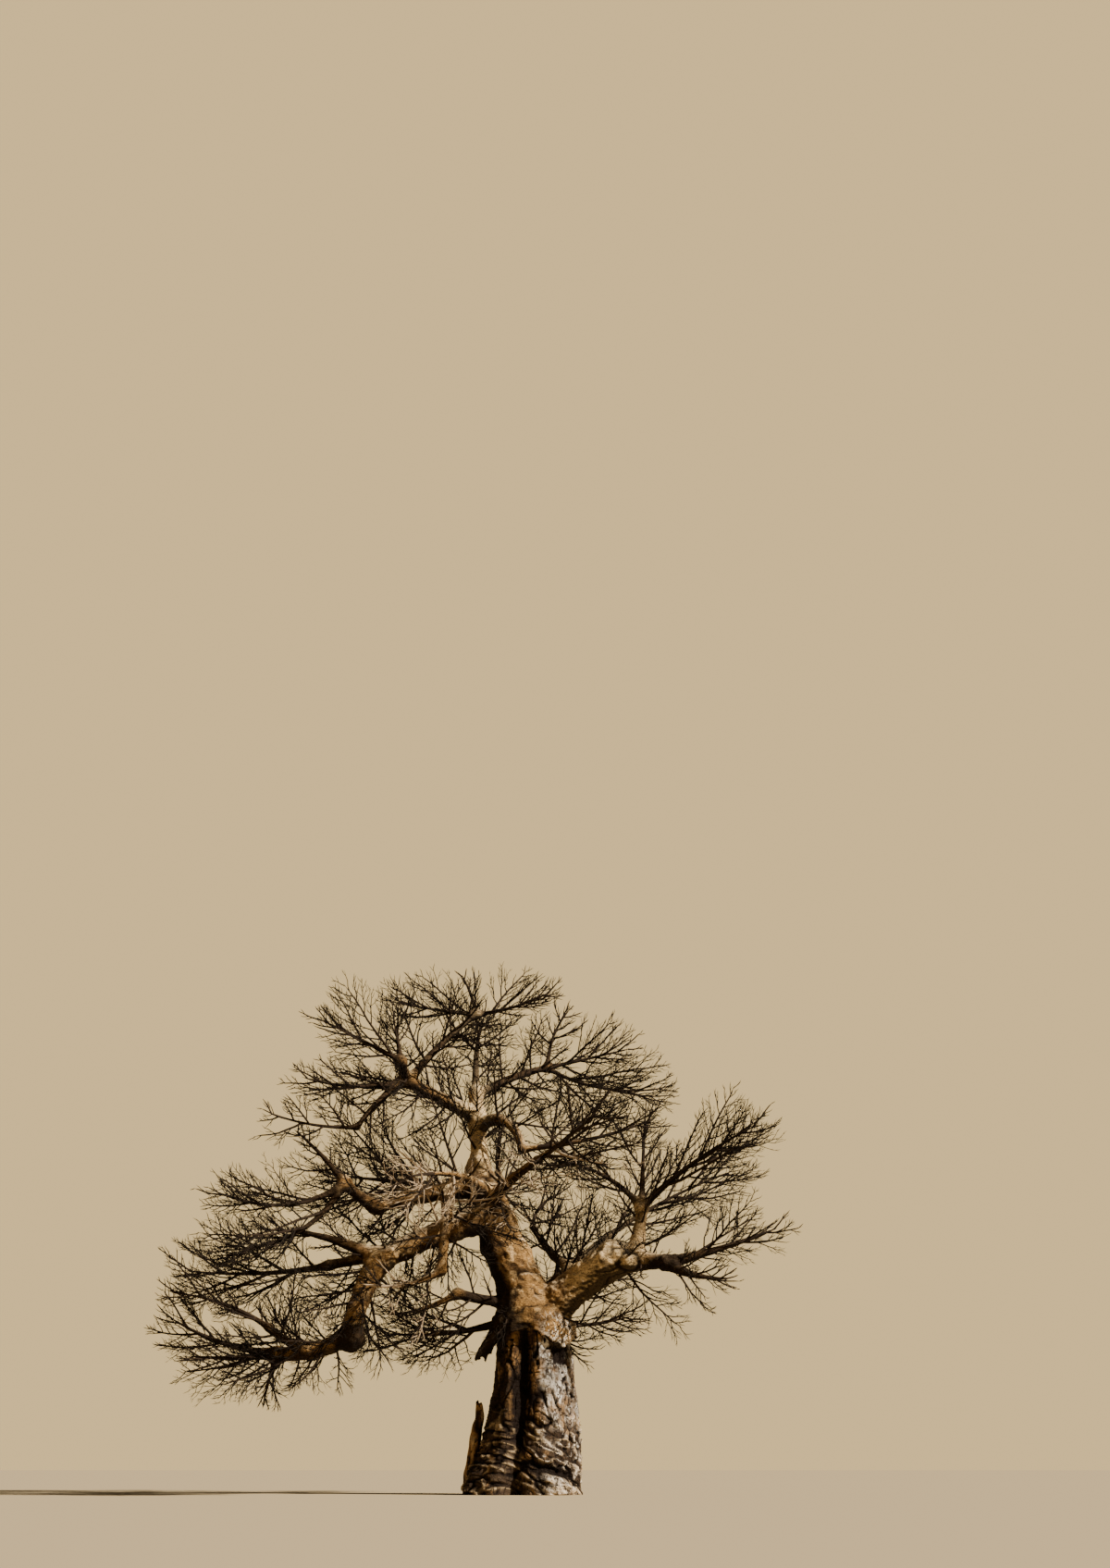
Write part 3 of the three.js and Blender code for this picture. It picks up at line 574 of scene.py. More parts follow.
# Lumps of the bark on limbs, as a share of their half thickness, and on the foot, as a
# height with the share of it that is left high up: then size and seed
LIMB_LUMPS = [(0.20, 0.42, 31), (0.10, 0.16, 32), (0.06, 0.09, 33)]
FOOT_LUMPS = [(0.075, 0.35, 0.55, 48), (0.035, 0.3, 0.20, 49), (0.016, 1.0, 0.09, 50)]
# Boughs whose skin is slimmer than their solid, by these shares at the root and the tip
SLIMMER = {"front_right_bough": (0.78, 0.78), "low_right_reach": (1.0, 0.72)}


def apart(a, b):
    """Degrees between two headings, from 0 to 180."""
    return np.abs((a - b + 540) % 360 - 180)


def bell(values, half_width):
    """Bell curve that is 1 at 0."""
    return np.exp(-((values / half_width) ** 2))


def lip_line(heading):
    """Height of the torn edge of the older bark, by heading: it hangs lowest on the right
    front and is notched all round."""
    circle = direction(heading, 0 * heading).reshape(-1, 3)
    notches = sum(deep * lumps(circle, size, seed) for deep, size, seed in LIP_NOTCHES)
    even, at, half_width = LIP_EVEN
    notches = notches.reshape(heading.shape) * (1 - even * bell(apart(heading, at), half_width))
    drop = sum(low * bell(apart(heading, at), half_width) for low, at, half_width in LIP_DROPS)
    return LIP_HEIGHT + notches - drop


def trunk_radius(height, heading):
    """Radius of the trunk by height and heading, with its lobes, knee and groove."""
    radius = np.interp(height, TRUNK[:, 0], TRUNK[:, 3])
    for at, half_width, foot, middle, top in LOBES:
        flare = foot * np.exp(-height / FLARE_FADE)
        fade = np.clip((top - height) / LOBE_FADE, 0, 1)
        radius = radius + bell(apart(heading, at), half_width) * (flare + middle * fade)
    knee = bell(apart(heading, KNEE["heading"]), KNEE["half_width"])
    groove = bell(apart(heading, GROOVE["heading"]), GROOVE["half_width"])
    depth = GROOVE["depth"] * np.clip((GROOVE["top"] - height) / GROOVE["fade"], 0, 1)
    radius = radius + KNEE["reach"] * knee * bell(height - KNEE["height"], KNEE["half_height"])
    return radius - depth * groove


def trunk_middle(height):
    """Middle of the trunk at a height."""
    return np.stack([np.interp(height, TRUNK[:, 0], TRUNK[:, 1]),
                     np.interp(height, TRUNK[:, 0], TRUNK[:, 2])], -1)


def upper_radius(height, heading):
    """Radius of the older bark above the torn lip: the trunk's, thicker near the lip."""
    near = np.clip(1 - (height - LIP_HEIGHT) / LIP_FADE, 0, 1)
    return trunk_radius(height, heading) + LIP_REACH * near


def revolved(heights, spin, radius_of):
    """Points on rings round the trunk's middle line: heights and headings on a grid, and
    a radius by height and heading."""
    radius = radius_of(heights, spin)
    middle = trunk_middle(heights)
    turn = np.radians(spin)
    return np.stack([middle[..., 0] + radius * np.cos(turn),
                     middle[..., 1] + radius * np.sin(turn), heights], -1)


def closed_rings(rings, bottom, top):
    """Closed surface of stacked rings, with a middle point under the first and over the
    last. Gives points and faces."""
    count, sides, _ = rings.shape
    points = np.vstack([rings.reshape(-1, 3), bottom, top])
    j = np.arange(sides)
    after = (j + 1) % sides
    low = np.stack([after, j, np.full(sides, count * sides)], -1)
    last = (count - 1) * sides
    high = np.stack([last + j, last + after, np.full(sides, count * sides + 1)], -1)
    return points, [grid_faces(count, sides), np.vstack([low, high])]


def gathered(values, quads, count):
    """For each of so many points, the sum of the values of the faces that meet there."""
    return np.stack([sum(np.bincount(quads[:, i], column, count) for i in range(4))
                     for column in values.T], -1)


def vertex_normals(points, quads):
    """Outward unit normal at each point, from the faces that meet there."""
    a, b, c, d = (points[quads[:, i]] for i in range(4))
    return unit(gathered(np.cross(c - a, d - b), quads, len(points)))


def relaxed(points, quads):
    """Points drawn towards the middle of the faces round them, so that dents even out."""
    total = gathered(points[quads].mean(1), quads, len(points))
    faces = gathered(np.ones((len(quads), 1)), quads, len(points))
    return mix(points, total / faces, EVENING)


def remeshed(points, faces):
    """One even skin of four-sided faces over overlapping closed bodies."""
    rough = new_piece("rough_skin", points, faces)
    voxels = rough.modifiers.new("voxels", "REMESH")
    voxels.mode = "VOXEL"
    voxels.voxel_size = CELL
    evaluated = rough.evaluated_get(bpy.context.evaluated_depsgraph_get())
    mesh = bpy.data.meshes.new_from_object(evaluated)
    co = np.zeros(len(mesh.vertices) * 3, np.float32)
    mesh.vertices.foreach_get("co", co)
    corners = np.zeros(len(mesh.loops), np.int32)
    mesh.loops.foreach_get("vertex_index", corners)
    bpy.data.objects.remove(rough)
    bpy.data.meshes.remove(mesh)
    return co.reshape(-1, 3).astype(float), corners.reshape(-1, 4)


def around_trunk(points, height):
    """Heading of points from the trunk's middle at a height, and level distance from it."""
    away = points[:, :2] - trunk_middle(height)
    heading = np.degrees(np.arctan2(away[:, 1], away[:, 0])) % 360
    return heading, np.hypot(away[:, 0], away[:, 1])


def trunk_distance(points):
    """Signed distance to the upper trunk's skin: level distance from its middle less the
    radius at that height and heading, with a domed top."""
    height = np.clip(points[:, 2], 0, TRUNK_TOP)
    heading, level = around_trunk(points, height)
    over = np.maximum(points[:, 2] - TRUNK_TOP, 0)
    return np.hypot(level, over) - upper_radius(height, heading)


def post_path(post, steps):
    """Straight middle line of the stub or the flap."""
    heading, climb = post["lean"]
    return sweep(np.array(post["root"]), (heading, heading), (climb, climb), post["length"], steps)


def limb_lines(paths):
    """Path and radii of each bough, with a flare at its root, of each mass's stem while it
    is thick, swelling to its bough's tip, and of the flap of bark."""
    lines = []
    for name, (_, _, _, _, length, radii) in BOUGHS.items():
        run = np.linspace(0, length, SMOOTH_STEPS + 1)
        flare = 1 + ROOT_FLARE[0] * np.exp(-run / (ROOT_FLARE[1] * radii[0]))
        slim = mix(*SLIMMER.get(name, (1, 1)), run / length)
        swell = slim * (1 + 0.07 * lumps(paths[name], 0.75, 21))
        lines.append((paths[name], mix(radii[0], radii[1], run / length) * flare * swell))
    for mass in TWIG_MASSES.values():
        limb, at, _, _, reach, radius, _, _ = mass
        path = stem_path(paths, mass, SMOOTH_STEPS)
        tip = BOUGHS[limb][5][1] * FORK_SHARE if at is None else 2 * radius
        run = np.linspace(0, reach, SMOOTH_STEPS + 1)
        radii = mix(radius, STEM_TIP, run / reach)
        radii = radii + np.maximum(tip - radii, 0) * np.exp(-run / (3 * tip))
        thick = max(int((radii > LEAST_BARKED).sum()), 2)
        lines.append((path[:thick], radii[:thick]))
    droop = post_path(FLAP, 8)
    lines.append((droop, mix(*FLAP["radii"], np.linspace(0, 1, len(droop)))))
    for at, heading, climb, length in FINGERS:
        finger = sweep(droop[at], (heading, heading), (climb, -88), length, 6)
        lines.append((finger, mix(*FINGER_RADII, np.linspace(0, 1, len(finger)))))
    return lines


def limb_field(points, lines):
    """Signed distance to all limbs melted together: minus BLEND times the logarithm of the
    sum of exp(-distance / BLEND). Also how far along its limb each point lies, the vector
    from that limb's middle, how much nearer the nearest limb is than the next, and the
    distance to the trunk."""
    distance = np.full((len(points), len(lines) + 1), 9.0)
    along = np.zeros(len(points))
    away = np.zeros((len(points), 3))
    best = np.full(len(points), 9.0)
    for i, (path, radii) in enumerate(lines):
        margin = radii.max() + 0.5
        close = np.all((points > path.min(0) - margin) & (points < path.max(0) + margin), 1)
        spots = np.flatnonzero(close)
        size, share, gap = to_segments(points[spots], path, radii)
        distance[spots, i] = size
        nearer = size < best[spots]
        best[spots[nearer]] = size[nearer]
        along[spots[nearer]] = share[nearer] * len(path)
        away[spots[nearer]] = gap[nearer]
    distance[:, -1] = trunk_distance(points)
    total = np.exp(-distance / BLEND).sum(1)
    order = np.partition(distance, 1, axis=1)
    return -BLEND * np.log(total), along, away, order[:, 1] - order[:, 0], distance[:, -1]


def winding(points, size, seed):
    """Noise in all three directions, by which straight creases are made to wind."""
    return np.stack([lumps(points, size, seed + i) for i in range(3)], -1)


def rough_limbs(lines):
    """Tubes along the limbs and rings of the trunk above the lip, as one rough skin."""
    bodies = []
    for path, radii in lines:
        body, faces = tubes(path[None], radii[None], LIMB_SIDES)
        body[-1] += unit(path[-1] - path[-2]) * radii[-1] * 0.5
        bodies.append((body, faces))
    spin = np.arange(0, 360, 2.0)
    lip = lip_line(spin)
    heights = mix(lip[None], TRUNK_TOP, np.linspace(0, 1, TRUNK_RINGS)[:, None])
    rings = revolved(heights, np.broadcast_to(spin, heights.shape), upper_radius)
    radius, rise = LIP_INSIDE
    inner = revolved(lip[None] + rise, spin[None], lambda z, h: np.full_like(z, radius))
    top = np.array([*trunk_middle(TRUNK_TOP), TRUNK_TOP + 0.35])
    bottom = np.array([*trunk_middle(LIP_HEIGHT), LIP_HEIGHT + 0.1])
    bodies.append(closed_rings(np.vstack([inner, rings]), bottom, top))
    return remeshed(*merged(bodies))


def settled(points, quads, lines):
    """The rough skin moved onto the melted limbs along its normals in a few rounds, and
    evened out in each. At the lip it is only evened out."""
    heading, level = around_trunk(points, points[:, 2])
    over_lip = points[:, 2] - lip_line(heading)
    free = np.where(level < LIP_ROUND, ramp(over_lip, *LIP_HELD), 1.0)
    for _ in range(ROUNDS):
        move = np.clip(limb_field(points, lines)[0], -FARTHEST_MOVE, FARTHEST_MOVE) * free
        points = relaxed(points - vertex_normals(points, quads) * move[:, None], quads)
    return points


def knots_and_shadows(points):
    """How far knots and spots of painted shadow raise the bark, and how much painted shade darkens
    it: a bell curve for each, and round a knot a ring that is sunk and darkened by painted shade."""
    raised, dark = np.zeros(len(points)), np.zeros(len(points))
    for *spot, wide, high in KNOTS:
        away = np.linalg.norm(points - spot, axis=1)
        ring = bell(away - 1.5 * wide, 0.35 * wide)
        raised += high * (bell(away, wide) - 0.3 * ring)
        dark += 0.8 * ring
    # Painted shadow: each spot is darkened by a bell curve, and roughened a little.
    for *spot, wide in SHADOWED_SPOTS:
        shadow_spot = bell(np.linalg.norm(points - spot, axis=1), wide)
        raised += 0.10 * shadow_spot * wide * lumps(points, 0.12, 40)
        dark += 1.6 * shadow_spot
    return raised, dark


def limb_bark(paths, finish):
    """Skin of the upper trunk and all boughs: tubes and the trunk's rings remeshed as one,
    moved onto the melted limbs, then raised and sunk along the normals by lumps, wrinkles
    across each limb, creases and knots."""
    lines = limb_lines(paths)
    points, quads = rough_limbs(lines)
    points = settled(points, quads, lines)
    _, along, away, alone, trunk_gap = limb_field(points, lines)
    normal = vertex_normals(points, quads)
    on_trunk = ramp(-trunk_gap, -0.06, 0.0)
    girth = np.linalg.norm(away, axis=1)
    wrapped = away * 1.2 + along[:, None] * [0.11, 0.07, 0.13]
    size = np.clip(girth * 0.5, 0.05, 0.30)
    relief = sum(share * lumps(points, wide, seed) for share, wide, seed in LIMB_LUMPS)
    relief += 0.10 * ramp(alone, 0.0, 0.15) * (1 - on_trunk) * lumps(wrapped, 0.10, 34)
    relief *= size
    folds = points * [0.9, 0.9, 2.0] + 0.15 * winding(points, 0.5, 35)
    deep = creases(folds, 0.42, 38, 3.0) * (0.15 + 0.85 * ramp(lumps(points, 0.9, 39), 0.0, 0.5))
    raised, dark = knots_and_shadows(points)
    relief += raised - 0.045 * deep * np.clip(size / 0.25, 0.25, 1)
    points = points + normal * relief[:, None]
    x, y, _ = points.T
    in_front = ramp(-y, 0.6, 1.2) * ramp(x, -3.4, -2.6) * ramp(-x, -2.2, -1.2)
    return new_piece("limb_bark", points, [quads], [finish], {
        # painted shade: darkening in creases, in the sunk rings round knots, at the spots of painted
        # shadow and where the relief is low
        "sunk": np.clip(deep + dark + 0.5 * ramp(-relief, 0.01, 0.07), 0, 1),
        "thin": (1 - ramp(girth, THIN[1], THIN[0])) * (1 - on_trunk) * (1 - THIN_IN_FRONT * in_front),
    })


# The foot goes up under the lip. Its rings, and the points on each
FOOT_TOP = 5.05
FOOT_RINGS = 240
FOOT_SIDES = 400
# Shear by which the folds of the foot fall to the right
SLOPE = np.array([[1, 0, 0.45], [0, 1, 0.2], [0, 0, 1]])
# Creases of the foot: whether they fall so and lie low down or stand upright higher up, how
# the surface is stretched for them, how much they wind, their size, seed and sharpness, how
# far they stand out, and how much painted shade darkens them (less than 0 takes it off)
FOOT_CREASES = {
    "folds": (True, (0.8, 0.8, 1.9), 0.22, 0.42, 45, 3.0, -0.100, 1.4),
    "fine folds": (True, (0.9, 0.9, 1.9), 0.12, 0.20, 46, 3.0, -0.045, 0.9),
    "ridges": (True, (0.8, 0.8, 1.8), 0.15, 0.30, 52, 3.0, 0.055, -0.5),
    "cracks": (False, (1.5, 1.5, 0.45), 0.12, 0.50, 47, 6.0, -0.12, 1.3),
    "seams": (False, (1.2, 1.2, 0.5), 0.10, 0.22, 55, 5.0, -0.03, 0.5),
    "wrinkles": (False, (0.8, 0.8, 2.6), 0.06, 0.26, 56, 4.0, -0.012, 0.25),
}
# The knob at the ground, the cleft over it and the hollow under the lip: heading and half
# width in degrees, height and half height. The cleft falls by this much each degree, and
# the seam in the groove has a heading, a half width, and heights from which it deepens
KNOB = (301, 17, 0.20, 0.32)
CLEFT = (303, 26, 0.70, 0.12)
CLEFT_FALL = 0.007
HOLLOW = (316, 15, 4.05, 0.36)
SEAM = (252, 10, 0.9, 1.8)


def foot_mark(spin, heights, mark):
    """1 in the middle of a mark on the foot, falling off both ways by bell curves."""
    heading, half_width, height, half_height = mark
    return bell(apart(spin, heading), half_width) * bell(heights - height, half_height)


def foot_relief(heights, spin):
    """How far the foot's skin stands out at heights and headings, how much painted shade
    darkens it in pits, creases, the cleft, the hollow and the seam, and how much it is a crest
    that takes a painted highlight, the last two from 0 to 1: the sum of lumps, pits, creases and
    marks."""
    turn = np.radians(spin)
    flat = np.stack([1.3 * np.cos(turn), 1.3 * np.sin(turn), heights], -1).reshape(-1, 3)
    bend = winding(flat, 0.7, 41)
    low = ramp(2.7 - flat[:, 2] + 0.5 * lumps(flat, 0.8, 44), 0.0, 0.9)
    pits = ramp(lumps(flat * [1, 1, 1.5], 0.13, 53), 0.42, 0.6) * ramp(lumps(flat, 0.6, 54), -0.15, 0.2)
    relief = sum(high * mix(left, 1, low) * lumps(flat, size, seed)
                 for high, left, size, seed in FOOT_LUMPS) - 0.06 * pits * (1 - low)
    sunk = pits * (1 - low)
    line = {}
    for name, (falls, stretch, wind, size, seed, sharp, high, dark) in FOOT_CREASES.items():
        spots = (flat @ SLOPE if falls else flat) * stretch + wind * bend
        line[name] = creases(spots, size, seed, sharp) * (low if falls else 1 - low)
        if name == "cracks":
            line[name] *= ramp(lumps(flat * [1, 1, 0.6], 0.7, 51), -0.4, -0.1)
        relief += high * line[name]
        sunk += dark * line[name]
    knob = foot_mark(spin, heights, KNOB).ravel()
    cleft = foot_mark(spin, heights + CLEFT_FALL * (spin - 300), CLEFT).ravel()
    hollow = foot_mark(spin, heights, HOLLOW).ravel()
    seam = (bell(apart(spin, SEAM[0]), SEAM[1]) * ramp(heights, *SEAM[2:])).ravel()
    relief += 0.34 * knob - 0.24 * cleft - 0.26 * hollow - 0.12 * seam
    # Painted shade: the cleft, the hollow under the lip and the seam in the groove are darkened, and
    # less of it lies on the knob.
    sunk = sunk * (1 - 0.7 * knob) + 2 * cleft + 2.2 * hollow + 1.3 * seam
    # Crests take a painted highlight: ridges low down, less the folds, and the knob.
    crests = np.clip(1.3 * line["ridges"] - line["folds"], 0, low) + 0.8 * knob
    return relief.reshape(spin.shape), np.clip(sunk, 0, 1), np.clip(crests, 0, 1)


def foot_bark(finish):
    """Skin of the lower trunk, where the older bark has gone: rings round the middle line
    whose radius is the trunk's with the relief, drawn in a little under the lip."""
    grid = (FOOT_RINGS, FOOT_SIDES)
    heights = np.broadcast_to(FOOT_TOP * np.linspace(0, 1, FOOT_RINGS)[:, None], grid)
    spin = np.broadcast_to(np.arange(FOOT_SIDES) * (360 / FOOT_SIDES), grid)
    relief, sunk, crests = foot_relief(heights, spin)
    inset = 0.02 + 0.05 * ramp(heights, 2.5, 4.5)
    rings = revolved(heights, spin, lambda z, h: trunk_radius(z, h) + relief - inset)
    ends = [np.array([*trunk_middle(height), height]) for height in (0.0, FOOT_TOP)]
    return new_piece("foot_bark", *closed_rings(rings, *ends), [finish], {
        "sunk": np.append(sunk, [0, 0]),
        "ridge": np.append(crests, [0, 0]),
    })


def stub_post(finish):
    """The broken stub on the left root: a leaning tube of many sides with rough sides and
    a torn top."""
    path = post_path(STUB, 40)
    share = np.linspace(0, 1, len(path))[:, None]
    turn = np.arange(0, 360, 12.0)
    ring = direction(turn, 0 * turn)
    rings = path[:, None] + ring * mix(*STUB["radii"], share)[..., None]
    grid = rings.shape[:2]
    flat = rings.reshape(-1, 3)
    rough = 0.05 * lumps(flat * [1, 1, 0.4], 0.13, 61) + 0.03 * lumps(flat, 0.30, 62)
    torn = ramp(share, 0.82, 1.0) * (0.22 * lumps(flat * [1, 1, 0], 0.11, 63)).reshape(grid)
    rings = rings + ring * rough.reshape(grid)[..., None] + UP * torn[..., None]
    points, faces = closed_rings(rings, path[0] - UP * 0.1, path[-1] - UP * 0.12)
    return new_piece("root_stub", points, faces, [finish], {
        # painted shade in the dents and a painted highlight on the bumps; lit keeps the painted shade
        # of the flank and of low down off the stub
        "sunk": np.append(ramp(-rough, 0.0, 0.04), [0, 0]),
        "ridge": np.append(ramp(rough, 0.0, 0.04), [0, 0]),
        "lit": np.full(len(points), 0.9),
    })


def add_node(tree, kind, inputs, output, **settings):
    """An output of a new node, whose inputs are given numbers or other outputs."""
    node = tree.nodes.new("ShaderNode" + kind)
    for key, value in settings.items():
        setattr(node, key, value)
    for key, value in inputs.items():
        if isinstance(value, bpy.types.NodeSocket):
            tree.links.new(value, node.inputs[key])
        else:
            node.inputs[key].default_value = value
    return node.outputs[output]


class Finish:
    """A procedural material: a few helpers that add nodes and link them."""

    def __init__(self, name, roughness):
        self.material = bpy.data.materials.new(name)
        self.material.use_nodes = True
        self.tree = self.material.node_tree
        self.shader = self.tree.nodes["Principled BSDF"]
        self.shader.inputs["Roughness"].default_value = roughness
        self.shader.inputs["Specular IOR Level"].default_value = 0.05
        self.place = self.add("TexCoord", {}, "Object")

    def add(self, kind, inputs, output, **settings):
        return add_node(self.tree, kind, inputs, output, **settings)

    def mapped(self, stretch):
        return self.add("Mapping", {"Vector": self.place, "Scale": stretch}, "Vector")

    def noise(self, scale, detail, stretch=(1, 1, 1), distortion=0.0):
        return self.add("TexNoise", {"Vector": self.mapped(stretch), "Scale": scale, "Detail": detail,
                                     "Distortion": distortion}, "Fac")

    def spots(self, scale, stretch):
        return self.add("TexVoronoi", {"Vector": self.mapped(stretch), "Scale": scale}, "Distance")

    def number(self, name):
        return self.add("Attribute", {}, "Fac", attribute_name=name)

    def step(self, value, low, high):
        """Smooth rise from 0 to 1 as the value goes from low to high."""
        return self.add("MapRange", {"Value": value, "From Min": low, "From Max": high}, "Result",
                        interpolation_type="SMOOTHSTEP")

    def math(self, kind, a, b=0.0):
        return self.add("Math", {0: a, 1: b}, 0, operation=kind)

    def times(self, first, *others):
        """Product of all the values."""
        for other in others:
            first = self.math("MULTIPLY", first, other)
        return first

    def lines(self, scale, width, stretch, distortion):
        """1 on winding lines, where a noise crosses its middle value."""
        offset = self.math("SUBTRACT", self.noise(scale, 4, stretch, distortion), 0.5)
        return self.step(self.math("ABSOLUTE", offset), width, 0.2 * width)

    def axis(self, name, source=None):
        return self.add("SeparateXYZ", {0: source or self.place}, name)

    def facing(self, low, high):
        """Rise from 0 to 1 as the upward part of the normal goes from low to high."""
        return self.step(self.axis("Z", self.add("NewGeometry", {}, "Normal")), low, high)

    def blend(self, share, a, b):
        """Colour a, covered by colour b by the share."""
        return self.add("Mix", {"Factor": share, 6: a, 7: b}, 2, data_type="RGBA")

    def covered(self, shade, layers):
        """A colour with layers over it in turn: where each lies, the most that it covers, and
        its colour."""
        for where, most, layer in layers:
            shade = self.blend(self.times(where, most), shade, layer)
        return shade

    def finish(self, shade, coarse, fine):
        """The material with its colour and with fine bumps over coarse ones: each a height
        from 0 to 1, the metres that it stands for, and its strength."""
        normal = None
        for height, distance, strength in (coarse, fine):
            inputs = {"Height": height, "Distance": distance, "Strength": strength}
            if normal:
                inputs["Normal"] = normal
            normal = self.add("Bump", inputs, "Normal")
        self.tree.links.new(shade, self.shader.inputs["Base Color"])
        self.tree.links.new(normal, self.shader.inputs["Normal"])
        return self.material


def colour(red, green, blue):
    return (red, green, blue, 1.0)


def bough_finish():
    """Old bark: golden tan with brown mottles, pale scurf, wrinkles and thin dark cracks,
    painted paler as sunlight on the right boughs and the leader, with a painted highlight on upper
    sides, bared in streaks over the lip, painted shade that makes it black-brown in creases and
    hollows, at spots of painted shadow, on undersides and on the trunk's left, and black-brown on
    thin limbs."""
    f = Finish("old_bark", 0.8)
    x, z, thin = f.axis("X"), f.axis("Z"), f.number("thin")
    black, dark = colour(0.009, 0.0055, 0.0035), colour(0.04, 0.024, 0.014)
    mottle = f.step(f.noise(1.6, 7, distortion=0.4), 0.42, 0.68)
    scurf = f.step(f.noise(3.0, 8, distortion=0.6), 0.53, 0.66)
    # Painted sunlight: the leader and the boughs on the right are painted paler, as if lit more.
    leader = f.step(f.math("ABSOLUTE", f.math("ADD", x, 1.7)), 0.75, 0.45)
    leader = f.times(leader, f.step(z, 9.2, 10.0), 0.9)
    right = f.times(f.step(x, 0.9, 1.8), f.step(x, 3.9, 3.1), f.step(z, 9.4, 8.4))
    # Painted highlight: upper sides of thick limbs above the lip are painted paler, as tops lit from
    # above.
    upper = f.times(f.facing(0.3, 0.85), f.step(z, 5.3, 6.2), f.math("SUBTRACT", 1.0, thin))
    torn = f.times(f.step(z, 5.5, 4.7), f.step(x, 0.2, 0.9))
    streak = f.step(f.noise(7.0, 8, (1, 1, 0.7), 1.6), 0.50, 0.53)
    fleck = f.step(f.noise(11.0, 8, (1, 1, 1.8), 0.5), 0.58, 0.68)
    wrinkle = f.step(f.noise(7.0, 8, (0.8, 0.8, 1.6), 2.0), 0.54, 0.66)
    crack = f.lines(3.2, 0.014, (0.8, 0.8, 1.4), 2.5)
    # Painted shade: the trunk's left flank, up to an edge that leans with the trunk, is painted black.
    lean = f.times(f.math("MAXIMUM", f.math("SUBTRACT", z, 5.0)), 0.38)
    edge = f.math("ADD", f.math("ADD", x, lean), f.times(f.noise(2.5, 6), 0.4))
    on_trunk = f.times(f.step(x, -2.1, -1.7), f.step(z, 8.6, 7.4))
    shade = f.covered(colour(0.31, 0.172, 0.058), [
        (mottle, 1.0, colour(0.12, 0.064, 0.024)),
        (scurf, 1.0, colour(0.50, 0.325, 0.145)),
        # painted sunlight on the leader and the right boughs
        (f.math("MAXIMUM", leader, right), 0.55, colour(0.92, 0.68, 0.36)),
        # painted highlight on upper sides
        (upper, 0.42, colour(0.88, 0.68, 0.42)),
        (f.times(torn, streak), 1.0, colour(0.66, 0.56, 0.42)),
        (f.times(torn, f.lines(5.0, 0.05, (1, 1, 0.6), 1.4)), 1.0, dark),
        (fleck, 0.8, colour(0.10, 0.055, 0.026)),
        (wrinkle, 0.65, colour(0.085, 0.048, 0.021)),
        (crack, 0.6, dark),
        # painted shade on the trunk's left flank
        (f.times(f.step(edge, 0.25, -0.12), on_trunk), 0.94, black),
        (thin, 0.92, colour(0.022, 0.014, 0.009)),
        # painted shade: undersides are painted black
        (f.facing(0.0, -0.55), 0.92, black),
        # painted shade in creases, hollows and spots of painted shadow
        (f.number("sunk"), 0.95, black),
    ])
    cracked = f.math("SUBTRACT", f.noise(8.0, 8, (1, 1, 1.8)), f.times(crack, 0.4))
    return f.finish(shade, (cracked, 0.07, 1.0), (f.noise(30.0, 6), 0.012, 0.8))


def stripped_finish():
    """Trunk under the torn bark: pale grey where the weather has bared it on the right,
    golden brown beside that, painted shade that makes it near black on the left and dark low
    down, except on the lit stub, a painted highlight on crests, which are also bared grey on the
    right, dark cracks and pits, and painted shade in folds, cracks, pits and hollows."""
    f = Finish("stripped_trunk", 0.75)
    x, z, ridge, lit = f.axis("X"), f.axis("Z"), f.number("ridge"), f.number("lit")
    dark = colour(0.04, 0.026, 0.018)
    dull = f.step(f.noise(2.2, 7), 0.40, 0.58)
    # Painted shade: the trunk's left flank is painted near black.
    shaded_flank = f.step(f.math("ADD", x, f.times(f.noise(1.5, 5), 0.5)), 0.0, -0.45)
    dusty = f.step(f.noise(4.0, 7), 0.42, 0.58)
    grey = f.blend(dusty, colour(0.62, 0.56, 0.475), colour(0.20, 0.15, 0.105))
    right = f.step(f.math("ADD", x, f.noise(1.3, 5)), 0.80, 1.15)
    high = f.step(f.math("ADD", z, f.noise(1.0, 4)), 2.1, 3.0)
    patches = f.step(f.noise(3.2, 6, (1, 1, 1.6), 0.6), 0.60, 0.66)
    # Painted highlight: crests count as bared, so on the right they are painted grey too.
    bared = f.math("MAXIMUM", high, f.math("MAXIMUM", patches, f.times(ridge, 1.5)))
    crack = f.lines(2.6, 0.030, (1.8, 1.8, 0.5), 0.9)
    shade = f.covered(colour(0.33, 0.18, 0.062), [
        (dull, 1.0, colour(0.065, 0.034, 0.015)),
        # painted shade on the left flank, left off the lit stub
        (f.times(shaded_flank, f.math("SUBTRACT", 0.92, lit)), 1.0, colour(0.012, 0.008, 0.005)),
        # painted shade low down, left off the lit stub
        (f.math("SUBTRACT", f.math("SUBTRACT", 1.0, high), lit), 1.0, colour(0.048, 0.030, 0.017)),
        (f.times(right, bared), 1.0, grey),
        # painted highlight on crests
        (ridge, 0.6, colour(0.50, 0.36, 0.20)),
        (f.step(f.noise(2.6, 7, (1, 1, 0.4), 0.5), 0.55, 0.64), 0.75, colour(0.24, 0.135, 0.055)),
        (f.step(f.spots(5.0, (1, 1, 1.8)), 0.20, 0.12), 0.9, dark),
        (crack, 0.9, dark),
        # painted shade in folds, cracks, pits and hollows
        (f.number("sunk"), 1.0, colour(0.010, 0.006, 0.004)),
    ])
    cracked = f.math("SUBTRACT", f.noise(7.0, 8, (1, 1, 1.5)), f.times(crack, 0.8))
    return f.finish(shade, (cracked, 0.08, 1.0), (f.noise(26.0, 6), 0.015, 0.8))


